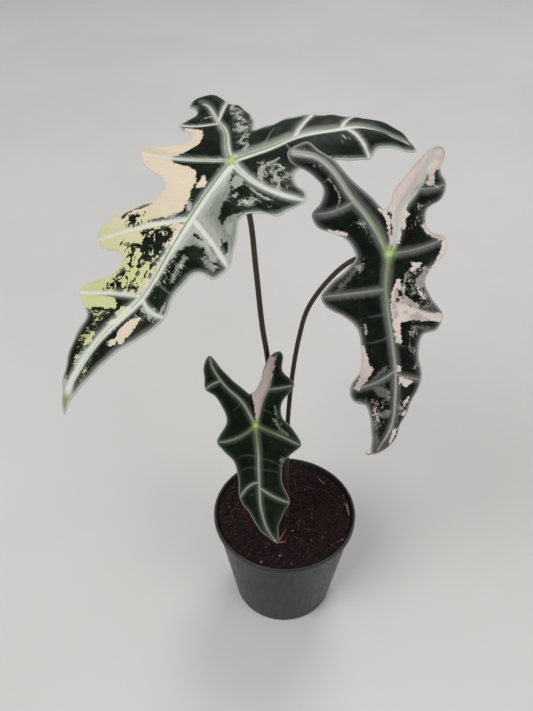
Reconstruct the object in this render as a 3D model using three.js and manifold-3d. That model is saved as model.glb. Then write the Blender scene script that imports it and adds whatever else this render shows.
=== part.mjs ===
// Potted alocasia nobilis: three lobed leaves on upright stalks in a black nursery pot.
// Millimetres, +Z up, the front of the plant faces -Y. The pot stands on z = 0 with its axis on x = y = 0.
import * as THREE from 'three';
import { mergeVertices } from 'three/addons/utils/BufferGeometryUtils.js';
import Module from 'manifold-3d';

const wasm = await Module();
wasm.setup();

const GAP = 0.35;

// Pot
const POT = {
  height: 101,
  topRadius: 58.8,
  baseRadius: 43,
  wall: 1.2,
  lip: 1.3,
  lipHeight: 5,
  padRadius: 24,
  ringRadius: 36.5,
  floorLift: 3,
  floor: 1.8,
  holes: 8,
  holeRadius: 3.2,
  sides: 44,
};

// Soil
const SOIL = {
  top: 97.6,
  bottom: POT.floorLift + POT.floor + GAP,
  crown: 1.2,
  rings: [0.14, 0.28, 0.42, 0.56, 0.7, 0.84, 0.95, 1],
  sides: 44,
};

// Corm and roots, hidden in the soil
const CORM = { x: -2.2, y: -1.2, top: 85, shoulder: 82, waist: 72, bottom: 52, topRadius: 8.6, radius: 12.5, sides: 14 };
const ROOTS = { count: 9, radius: 1.7, tipRadius: 0.8, reach: 30, lowest: 14, sides: 5, seed: 7 };

// Each stalk: the route of its middle from the corm to just under its blade, and its thickness along the way.
// A blade's joint is where its three ribs meet. A heading is the compass turn of its main lobe from +X,
// a droop is how far that lobe points below the horizontal there.
const LEAVES = {
  large: {
    joint: [-35, -20, 428],
    heading: 230,
    droop: 22,
    stalk: {
      base: [-3.2, 3.4],
      route: [[-5, 3, 130], [-9, 1, 190], [-14.6, -1, 270], [-18.2, -3.4, 300], [-22, -7, 348], [-25.6, -12, 390]],
      topRadius: 1.65,
      baseRadius: 2.9,
    },
    thickness: 0.9,
    ribDepth: 2.2,
    quilt: 1.3,
    step: 7,
    // Every point is [along the main lobe, across to the right in front view, lift off the flat blade].
    ribs: {
      mid: [[0, 0, 0], [30, 3, -1], [56, 5, -5], [90, 6, -14], [117, -4, -23], [143, -9, -35], [157, -5, -42]],
      left: [[0, 0, 0], [-5, -7, 0], [-18, -20, -2], [-26, -34, -5], [-38, -53, -10], [-43, -66, -15]],
      right: [[0, 0, 0], [-20, 11, -4], [-36, 18, -7], [-52, 28, -13], [-67, 38, -20], [-80, 59, -36]],
    },
    // A fourth number is how far along the rib the vein to that point leaves it, from 0 at the joint to 1.
    outline: [
      { rib: 'mid', points: [
        [159, -5, -43, 1], [151, -13, -39], [140, -18, -34], [127, -21, -27], [113, -21, -20], [108, -26, -20],
        [103, -37, -22, 0.55], [93, -26, -15], [86, -18, -12], [78, -17, -8], [75, -26, -9],
        [71, -48, -14, 0.26], [64, -49, -11], [50, -38, -6], [38, -26, -2], [31, -23, 1], [26, -34, -1],
        [20, -54, -4], [14, -61, -5, 0]] },
      { rib: 'left', points: [
        [14, -61, -5, 0], [10, -57, -2], [4, -44, -2], [-1, -39, -3], [-9, -39, -4], [-12, -52, -6],
        [-17, -59, -8, 0.5], [-27, -56, -10], [-31, -58, -11], [-35, -64, -13], [-39, -74, -17, 1]] },
      { rib: 'left', points: [
        [-39, -74, -17, 1], [-49, -75, -18], [-56, -66, -20], [-52, -53, -18, 0.52], [-49, -37, -14],
        [-45, -27, -13], [-39, -17, -10], [-30, -8, -6, 0]] },
      { rib: 'right', points: [
        [-30, -8, -6, 0], [-38, -4, -8], [-53, 4, -11], [-61, 9, -15, 0.36], [-68, 15, -19],
        [-78, 24, -26, 0.62], [-88, 41, -34], [-88, 51, -38], [-81, 64, -40, 1]] },
      { rib: 'right', points: [
        [-81, 64, -40, 1], [-72, 59, -32], [-65, 57, -26], [-59, 54, -24], [-50, 55, -23, 0.64],
        [-44, 51, -20], [-34, 44, -14], [-15, 35, -7], [-8, 37, -6], [-5, 41, -7], [1, 52, -7, 0]] },
      { rib: 'mid', points: [
        [1, 52, -7, 0], [5, 51, -7], [16, 47, -6], [24, 36, -2], [27, 34, 0], [32, 33, 0], [43, 38, -3],
        [56, 40, -10, 0.25], [64, 36, -12], [67, 28, -9], [72, 26, -8], [83, 24, -11],
        [93, 25, -17, 0.55], [100, 22, -20], [107, 18, -21], [119, 10, -23], [130, 3, -29], [142, -1, -34],
        [159, -5, -43, 1]] },
    ],
  },
  right: {
    joint: [51.5, -56, 390],
    heading: 270,
    droop: 64,
    stalk: {
      base: [1.8, -2.8],
      route: [[1, -2.5, 130], [0.8, -1, 205], [3.3, -2, 256], [7.2, -6, 295], [11.5, -10, 319], [21.6, -18, 345],
        [35, -30, 369]],
      topRadius: 1.45,
      baseRadius: 2.5,
    },
    thickness: 0.9,
    ribDepth: 2,
    quilt: 1.2,
    step: 6.2,
    ribs: {
      mid: [[0, 0, 0], [19, -1, 0], [49, 4, -2], [67, 7, -5], [82, 8, -7], [102, 7, -10], [119, 0, -14]],
      left: [[0, 0, 0], [-17, -10, 2], [-31, -22, 5], [-44, -32, 10], [-51, -41, 12], [-53, -53, 12]],
      right: [[0, 0, 0], [-10, 3, 1], [-24, 5, 3], [-37, 13, 7], [-46, 16, 11], [-54, 20, 15]],
    },
    outline: [
      { rib: 'mid', points: [
        [122, -3, -15, 1], [111, -4, -12], [97, -6, -8], [89, -9, -7], [87, -16, -10],
        [79, -18, -9, 0.56], [67, -13, -4], [56, -13, -2], [42, -16, -1], [36, -23, -4], [30, -34, -7],
        [25, -36, -7, 0.16], [18, -32, -4], [8, -22, 0], [2, -18, 1, 0]] },
      { rib: 'left', points: [
        [2, -18, 1, 0], [-8, -24, 1], [-11, -32, -1], [-14, -39, -1], [-21, -42, -2, 0.44], [-27, -38, 2],
        [-34, -37, 7], [-41, -42, 9], [-48, -54, 9], [-53, -56, 11, 1]] },
      { rib: 'left', points: [
        [-53, -56, 11, 1], [-57, -50, 14], [-58, -46, 16], [-54, -40, 14], [-49, -32, 12], [-39, -22, 8],
        [-30, -11, 5], [-24, -4, 3, 0]] },
      { rib: 'right', points: [
        [-24, -4, 3, 0], [-27, -1, 4], [-33, 0, 6], [-42, 6, 10], [-50, 12, 13], [-54, 16, 15],
        [-56, 21, 16, 1]] },
      { rib: 'right', points: [
        [-56, 21, 16, 1], [-52, 25, 12], [-44, 23, 10], [-37, 28, 4, 0.62], [-29, 26, 2], [-24, 19, 3],
        [-19, 18, 3], [-12, 22, -1], [-8, 32, -6, 0]] },
      { rib: 'mid', points: [
        [-8, 32, -6, 0], [1, 31, -4], [9, 23, -1], [15, 20, 1], [24, 24, -1], [36, 33, -7, 0.21], [43, 30, -6],
        [46, 21, -2], [55, 19, -2], [74, 23, -9, 0.58], [84, 19, -9], [95, 15, -10], [103, 12, -11],
        [115, 8, -13], [122, -3, -15, 1]] },
    ],
  },
  small: {
    joint: [-23, -30, 232],
    heading: 282,
    droop: 66,
    stalk: {
      base: [-5.4, -4.2],
      route: [[-6, -5, 110], [-8, -7, 150], [-12, -10, 185], [-17, -14, 212]],
      topRadius: 1.1,
      baseRadius: 2,
    },
    thickness: 0.8,
    ribDepth: 1.8,
    quilt: 1,
    step: 5.4,
    ribs: {
      mid: [[0, 0, 0], [19, 0, 0], [43, -1, -2], [69, -1, -6], [89, 3, -10], [101, 9, -12]],
      left: [[0, 0, 0], [-19, -8, 0], [-29, -16, 0], [-36, -21, -1], [-47, -26, -1], [-53, -27, -1]],
      right: [[0, 0, 0], [-19, 7, 0], [-27, 12, 0], [-40, 15, 0], [-50, 19, 0]],
    },
    outline: [
      { rib: 'mid', points: [
        [103, 11, -13, 1], [99, 6, -12], [87, -3, -9], [70, -10, -6], [57, -16, -6, 0.44], [40, -16, -2],
        [25, -18, -1], [16, -25, -4], [10, -28, -5, 0]] },
      { rib: 'left', points: [
        [10, -28, -5, 0], [-6, -20, -1], [-17, -22, -1], [-25, -26, -2], [-31, -32, -4, 0.7], [-40, -32, -4],
        [-50, -31, -2], [-55, -27, -1, 1]] },
      { rib: 'left', points: [
        [-55, -27, -1, 1], [-45, -20, 0], [-37, -14, 0], [-27, -5, 0], [-24, -2, 0, 0]] },
      { rib: 'right', points: [
        [-24, -2, 0, 0], [-25, 1, 0], [-32, 6, 0], [-41, 9, 1], [-50, 15, 1], [-52, 21, 0, 1]] },
      { rib: 'right', points: [
        [-52, 21, 0, 1], [-48, 24, -1], [-39, 22, 0], [-24, 31, -5, 0.52], [-15, 21, -1], [-5, 19, 0],
        [8, 27, -3], [24, 33, -8, 0]] },
      { rib: 'mid', points: [
        [24, 33, -8, 0], [28, 23, -3], [34, 17, -2], [48, 16, -3], [66, 21, -9, 0.48], [74, 16, -8],
        [86, 12, -10], [94, 11, -11], [103, 11, -13, 1]] },
    ],
  },
};

// Rows of the blade between rib and margin, as shares of the way
const ROWS = [0.1, 0.38, 0.7, 1];

// How the lift of the margin fades in towards it, so that the blade lies flat along its ribs
const ARCH = 1.6;

const MATERIALS = {
  pot: { color: 0x141517, roughness: 0.5 },
  soil: { color: 0x2a1c17, roughness: 1 },
  root: { color: 0xc9b38a, roughness: 0.8 },
  stalk: { color: 0x5a4630, roughness: 0.6 },
  blade_large: { color: 0x3c4a35, roughness: 0.4 },
  blade_right: { color: 0x2c3a30, roughness: 0.4 },
  blade_small: { color: 0x22331f, roughness: 0.4 },
};

// Helpers

function makeMesh(name, geometry, look) {
  const mesh = new THREE.Mesh(geometry, new THREE.MeshStandardMaterial({ metalness: 0, ...look }));
  mesh.name = name;
  return mesh;
}

function indexed(positions, triangles) {
  const geometry = new THREE.BufferGeometry();
  geometry.setAttribute('position', new THREE.Float32BufferAttribute(positions, 3));
  geometry.setIndex(triangles);
  return geometry;
}

function toSolid(geometry) {
  const bare = geometry.clone();
  bare.deleteAttribute('normal');
  bare.deleteAttribute('uv');
  const merged = mergeVertices(bare, 1e-4);
  return new wasm.Manifold(new wasm.Mesh({
    numProp: 3,
    vertProperties: new Float32Array(merged.attributes.position.array),
    triVerts: new Uint32Array(merged.index.array),
  }));
}

function fromSolid(solid) {
  const mesh = solid.getMesh();
  return indexed(Array.from(mesh.vertProperties), Array.from(mesh.triVerts));
}

// Same numbers on every run, from 0 to 1
function seededRandom(seed) {
  let state = seed;
  return () => {
    state = (state * 16807) % 2147483647;
    return state / 2147483647;
  };
}

// Closed round tube along a curve, with a radius that changes along it
function taperedTube(curve, radiusAt, sides, steps) {
  const frames = curve.computeFrenetFrames(steps, false);
  const positions = [];
  const triangles = [];
  for (let i = 0; i <= steps; i++) {
    const middle = curve.getPointAt(i / steps);
    const radius = radiusAt(i / steps);
    for (let j = 0; j < sides; j++) {
      const angle = (2 * Math.PI * j) / sides;
      const point = middle.clone()
        .addScaledVector(frames.normals[i], radius * Math.cos(angle))
        .addScaledVector(frames.binormals[i], radius * Math.sin(angle));
      positions.push(point.x, point.y, point.z);
    }
  }
  const ends = [0, steps].map((i) => {
    const middle = curve.getPointAt(i / steps);
    positions.push(middle.x, middle.y, middle.z);
    return positions.length / 3 - 1;
  });
  for (let j = 0; j < sides; j++) {
    const next = (j + 1) % sides;
    for (let i = 0; i < steps; i++) {
      const low = i * sides;
      const high = low + sides;
      triangles.push(low + j, low + next, high + next, low + j, high + next, high + j);
    }
    triangles.push(ends[0], next, j);
    triangles.push(ends[1], steps * sides + j, steps * sides + next);
  }
  return indexed(positions, triangles);
}

// Pot

function potInnerRadius(z) {
  const share = z / POT.height;
  return POT.baseRadius + (POT.topRadius - POT.baseRadius) * share - POT.wall;
}

function makePot() {
  const lipBottom = POT.height - POT.lipHeight;
  const footRadius = POT.ringRadius + POT.floorLift * 0.7;
  const outline = [
    [0, 0],
    [POT.padRadius, 0],
    [POT.padRadius + POT.floorLift, POT.floorLift],
    [POT.ringRadius, POT.floorLift],
    [footRadius, 0],
    [POT.baseRadius - 1, 0],
    [potInnerRadius(1) + POT.wall, 1],
    [potInnerRadius(lipBottom) + POT.wall, lipBottom],
    [POT.topRadius + POT.lip * 0.8, lipBottom],
    [POT.topRadius + POT.lip, lipBottom + 1],
    [POT.topRadius + POT.lip, POT.height - 1],
    [POT.topRadius + POT.lip * 0.5, POT.height],
    [POT.topRadius - POT.wall * 0.6, POT.height],
    [potInnerRadius(POT.height - 1), POT.height - 1],
    [potInnerRadius(POT.floorLift + POT.floor), POT.floorLift + POT.floor],
    [POT.padRadius + POT.floorLift - 1, POT.floorLift + POT.floor],
    [POT.padRadius - 1, POT.floor],
    [0, POT.floor],
  ];
  const shell = new THREE.LatheGeometry(outline.map(([r, z]) => new THREE.Vector2(r, z)), POT.sides);
  shell.rotateX(Math.PI / 2);
  let solid = toSolid(shell);
  const holeCircle = (POT.padRadius + POT.floorLift + POT.ringRadius) / 2;
  for (let i = 0; i < POT.holes; i++) {
    const angle = (2 * Math.PI * (i + 0.5)) / POT.holes;
    const drill = new THREE.CylinderGeometry(POT.holeRadius, POT.holeRadius, 20, 10);
    drill.rotateX(Math.PI / 2);
    drill.translate(holeCircle * Math.cos(angle), holeCircle * Math.sin(angle), 0);
    solid = solid.subtract(toSolid(drill));
  }
  return makeMesh('pot', fromSolid(solid), MATERIALS.pot);
}

// Corm and roots, grown by the given amount to cut their room in the soil

function cormSolid(grow) {
  const { top, shoulder, waist, bottom, topRadius, radius, sides } = CORM;
  const outline = [
    [0, bottom - grow],
    [radius * 0.45 + grow, bottom + 2],
    [radius * 0.85 + grow, (bottom + waist) / 2],
    [radius + grow, waist],
    [radius * 0.85 + grow, shoulder],
    [topRadius + grow, top + grow],
    [0, top + grow],
  ];
  const body = new THREE.LatheGeometry(outline.map(([r, z]) => new THREE.Vector2(r, z)), sides);
  body.rotateX(Math.PI / 2);
  body.translate(CORM.x, CORM.y, 0);
  return toSolid(body);
}

function rootSolids(grow) {
  const random = seededRandom(ROOTS.seed);
  const roots = [];
  for (let i = 0; i < ROOTS.count; i++) {
    const turn = (2 * Math.PI * (i + 0.6 * random())) / ROOTS.count;
    const reach = ROOTS.reach * (0.75 + 0.25 * random());
    const depth = ROOTS.lowest + 26 * random();
    const start = CORM.waist - 12 * random();
    const along = (share, z) => new THREE.Vector3(
      CORM.x + Math.cos(turn) * reach * share, CORM.y + Math.sin(turn) * reach * share, z);
    const curve = new THREE.CatmullRomCurve3([
      along(0.12, start), along(0.6, start - 4), along(0.95, (start + depth) / 2), along(1, depth),
    ]);
    const radiusAt = (u) => ROOTS.radius + (ROOTS.tipRadius - ROOTS.radius) * u + grow;
    roots.push(toSolid(taperedTube(curve, radiusAt, ROOTS.sides, 8)));
  }
  return roots;
}

function cormAndRoots(grow) {
  return rootSolids(grow).reduce((joined, root) => joined.add(root), cormSolid(grow));
}

// Soil

// Height of the lumpy soil surface, a low crown with crumbs
function soilHeight(x, y) {
  const share = Math.hypot(x, y) / POT.topRadius;
  const lumps = Math.sin(x * 0.31 + 1.3) * Math.cos(y * 0.27) + 0.6 * Math.sin(x * 0.71 - y * 0.53);
  return SOIL.top + SOIL.crown * (1 - share * share) + 0.7 * lumps;
}

function makeSoil(stalks) {
  const positions = [0, 0, soilHeight(0, 0)];
  const triangles = [];
  const { rings, sides } = SOIL;
  const edge = potInnerRadius(SOIL.top) - GAP;
  for (const ring of rings) {
    for (let j = 0; j < sides; j++) {
      const angle = (2 * Math.PI * j) / sides;
      const x = edge * ring * Math.cos(angle);
      const y = edge * ring * Math.sin(angle);
      positions.push(x, y, ring === 1 ? SOIL.top - 1 : soilHeight(x, y));
    }
  }
  const floorEdge = potInnerRadius(SOIL.bottom) - GAP;
  for (let j = 0; j < sides; j++) {
    const angle = (2 * Math.PI * j) / sides;
    positions.push(floorEdge * Math.cos(angle), floorEdge * Math.sin(angle), SOIL.bottom);
  }
  positions.push(0, 0, SOIL.bottom);
  const floorMiddle = positions.length / 3 - 1;
  for (let j = 0; j < sides; j++) {
    const next = (j + 1) % sides;
    triangles.push(0, 1 + j, 1 + next);
    for (let i = 0; i < rings.length; i++) {
      const inner = 1 + i * sides;
      const outer = inner + sides;
      triangles.push(inner + j, outer + j, outer + next, inner + j, outer + next, inner + next);
    }
    const floor = 1 + rings.length * sides;
    triangles.push(floorMiddle, floor + next, floor + j);
  }
  let solid = toSolid(indexed(positions, triangles)).subtract(cormAndRoots(GAP));
  for (const stalk of stalks) solid = solid.subtract(toSolid(stalk));
  return makeMesh('soil', fromSolid(solid), MATERIALS.soil);
}

// Leaves

const toVector = ([x, y, z]) => new THREE.Vector3(x, y, z);

// Turns a blade's own axes (along, across, lift) into the plant's
function bladeTurn(leaf) {
  const heading = THREE.MathUtils.degToRad(leaf.heading);
  const droop = THREE.MathUtils.degToRad(leaf.droop);
  const level = new THREE.Vector3(Math.cos(heading), Math.sin(heading), 0);
  const up = new THREE.Vector3(0, 0, 1);
  const along = level.clone().multiplyScalar(Math.cos(droop)).addScaledVector(up, -Math.sin(droop));
  const lift = level.clone().multiplyScalar(Math.sin(droop)).addScaledVector(up, Math.cos(droop));
  const across = lift.clone().cross(along);
  return new THREE.Quaternion().setFromRotationMatrix(new THREE.Matrix4().makeBasis(along, across, lift));
}

// The stalk's middle line. It meets the blade square on, just under its rib.
function stalkCurve(leaf) {
  const lift = new THREE.Vector3(0, 0, 1).applyQuaternion(bladeTurn(leaf));
  const joint = toVector(leaf.joint);
  const seat = leaf.thickness + leaf.ribDepth + GAP;
  return new THREE.CatmullRomCurve3([
    new THREE.Vector3(...leaf.stalk.base, CORM.top + GAP),
    new THREE.Vector3(...leaf.stalk.base, SOIL.top),
    ...leaf.stalk.route.map(toVector),
    joint.clone().addScaledVector(lift, -seat - 6),
    joint.clone().addScaledVector(lift, -seat),
  ]);
}

function stalkGeometry(leaf, grow) {
  const { topRadius, baseRadius } = leaf.stalk;
  const curve = stalkCurve(leaf);
  const radiusAt = (u) => topRadius + (baseRadius - topRadius) * (0.45 * (1 - u) + 0.55 * (1 - u) ** 12) + grow;
  return taperedTube(curve, radiusAt, 8, 30);
}

// The margin as one closed curve, and for each stretch of it the length along the margin at every vein
function traceMargin(leaf) {
  const corners = [];
  const stretches = leaf.outline.map(({ rib, points }) => {
    const veins = [];
    points.forEach((point, i) => {
      const index = corners.length + i;
      if (point.length > 3) veins.push({ station: point[3], index });
    });
    corners.push(...points.slice(0, -1));
    return { rib, veins };
  });
  const curve = new THREE.CatmullRomCurve3(corners.map(toVector), true);
  curve.arcLengthDivisions = corners.length * 20;
  const lengths = curve.getLengths();
  const total = lengths[lengths.length - 1];
  for (const { veins } of stretches) {
    for (const vein of veins) vein.share = lengths[vein.index * 20] / total;
  }
  return { curve, total, stretches };
}

// Where along a rib the columns of the blade stand: at each vein on either side, and evenly between
function ribStations(name, margin, step) {
  const sides = margin.stretches.filter((stretch) => stretch.rib === name);
  const stops = [...new Set(sides.flatMap(({ veins }) => veins.map((vein) => vein.station)))].sort((a, b) => a - b);
  const stations = [0];
  for (let i = 1; i < stops.length; i++) {
    const lengths = sides.map((side) =>
      Math.abs(marginShare(side, stops[i]) - marginShare(side, stops[i - 1])) * margin.total);
    const count = Math.max(1, Math.round(Math.max(...lengths) / step));
    for (let k = 1; k <= count; k++) stations.push(stops[i - 1] + ((stops[i] - stops[i - 1]) * k) / count);
  }
  return stations;
}

// The two veins that a station lies between, and how far it is from the first to the second
function between(side, station) {
  const { veins } = side;
  for (let i = 1; i < veins.length; i++) {
    const [first, second] = [veins[i - 1], veins[i]];
    const part = (station - first.station) / (second.station - first.station);
    if (part >= -1e-9 && part <= 1 + 1e-9) return { first, second, part };
  }
  throw new Error('station outside its rib');
}

function marginShare(side, station) {
  const { first, second, part } = between(side, station);
  return first.share + (second.share - first.share) * part;
}

// One closed blade: an upper face fanned from the ribs to the margin, and the same face again below it
function makeBlade(name, leaf, look) {
  const margin = traceMargin(leaf);
  const upper = [];
  const depths = [];
  const ribs = {};
  for (const rib of Object.keys(leaf.ribs)) {
    const curve = new THREE.CatmullRomCurve3(leaf.ribs[rib].map(toVector));
    const stations = ribStations(rib, margin, leaf.step);
    const feet = stations.map((station, i) => {
      if (i === 0 && rib !== 'mid') return 0;
      upper.push(curve.getPointAt(station));
      depths.push(leaf.thickness + leaf.ribDepth * (1 - station * 0.75));
      return upper.length - 1;
    });
    ribs[rib] = { stations, feet };
  }
  // Columns of points from each foot to the margin, once round the blade
  const columns = [];
  margin.stretches.forEach((side) => {
    const { stations, feet } = ribs[side.rib];
    const outward = side.veins[0].station < side.veins[side.veins.length - 1].station;
    const order = stations.map((_, i) => (outward ? i : stations.length - 1 - i)).slice(0, -1);
    for (const i of order) {
      const { part } = between(side, stations[i]);
      const foot = upper[feet[i]];
      const edge = margin.curve.getPointAt(marginShare(side, stations[i]) % 1);
      const column = [feet[i]];
      for (const row of ROWS) {
        const point = foot.clone().lerp(edge, row);
        point.z = foot.z + (edge.z - foot.z) * row ** ARCH;
        point.z += leaf.quilt * Math.sin(Math.PI * row) * Math.sin(Math.PI * part);
        upper.push(point);
        depths.push(leaf.thickness);
        column.push(upper.length - 1);
      }
      columns.push(column);
    }
  });
  const faces = [];
  const rim = [];
  columns.forEach((column, i) => {
    const next = columns[(i + 1) % columns.length];
    for (let k = 0; k < ROWS.length; k++) {
      faces.push([column[k], next[k], next[k + 1]], [column[k], next[k + 1], column[k + 1]]);
    }
    rim.push([column[ROWS.length], next[ROWS.length]]);
  });
  const face = indexed(upper.flatMap(({ x, y, z }) => [x, y, z]), faces.flat());
  face.computeVertexNormals();
  const normals = face.attributes.normal;
  const lower = upper.map((point, i) => point.clone().addScaledVector(
    new THREE.Vector3().fromBufferAttribute(normals, i), -depths[i]));
  const count = upper.length;
  const triangles = [
    ...faces.flat(),
    ...faces.flatMap(([a, b, c]) => [a + count, c + count, b + count]),
    ...rim.flatMap(([a, b]) => [a, b, b + count, a, b + count, a + count]),
  ];
  const mesh = makeMesh(name, indexed([...upper, ...lower].flatMap(({ x, y, z }) => [x, y, z]), triangles), look);
  mesh.position.set(...leaf.joint);
  mesh.quaternion.copy(bladeTurn(leaf));
  return mesh;
}

// The plant in its pot

const plant = new THREE.Group();
plant.name = 'potted_alocasia_nobilis';
plant.add(makePot());
plant.add(makeSoil(Object.values(LEAVES).map((leaf) => stalkGeometry(leaf, GAP))));
plant.add(makeMesh('corm_and_roots', fromSolid(cormAndRoots(0)), MATERIALS.root));
for (const [size, leaf] of Object.entries(LEAVES)) {
  plant.add(makeMesh(`petiole_${size}`, stalkGeometry(leaf, 0), MATERIALS.stalk));
  plant.add(makeBlade(`blade_${size}`, leaf, MATERIALS[`blade_${size}`]));
}

export default plant;
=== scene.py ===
"""Potted alocasia nobilis: the look of the plant, its pot and its soil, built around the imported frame.

Tables are in millimetres, in the frame's own axes. make_piece turns them into metres.
"""
import math
from collections import namedtuple
from types import SimpleNamespace

import bmesh
import bpy
import numpy as np
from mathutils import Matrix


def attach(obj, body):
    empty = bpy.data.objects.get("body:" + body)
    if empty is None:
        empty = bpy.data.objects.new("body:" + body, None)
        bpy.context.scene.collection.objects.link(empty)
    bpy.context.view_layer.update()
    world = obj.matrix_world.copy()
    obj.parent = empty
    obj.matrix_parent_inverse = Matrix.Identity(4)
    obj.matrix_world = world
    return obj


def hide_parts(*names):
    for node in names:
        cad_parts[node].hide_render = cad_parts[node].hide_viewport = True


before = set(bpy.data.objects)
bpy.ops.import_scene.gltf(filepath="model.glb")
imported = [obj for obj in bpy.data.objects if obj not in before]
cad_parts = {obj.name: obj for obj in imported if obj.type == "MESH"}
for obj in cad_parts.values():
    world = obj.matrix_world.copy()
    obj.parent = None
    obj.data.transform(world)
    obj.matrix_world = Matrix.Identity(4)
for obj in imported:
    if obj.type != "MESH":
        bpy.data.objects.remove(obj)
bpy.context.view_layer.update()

MM = 0.001

# Pot and soil, the same sizes as in the frame
POT = dict(height=101, top_radius=58.8, base_radius=43, wall=1.2, lip=1.3, lip_height=5, pad_radius=24,
           ring_radius=36.5, floor_lift=3, floor=1.8, holes=8, hole_radius=3.2)
SOIL = dict(top=97.6, crown=1.2, bottom=5.15, gap=0.25)
CORM_TOP = 85.35

# Camera: where the photograph was taken from, and the image distance in pixels of its 533 x 711 frame
CAMERA = dict(place=(-0.0154, -0.403, 0.604), pitch=39.5, image_distance=740, image_height=711, sensor=36)

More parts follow.
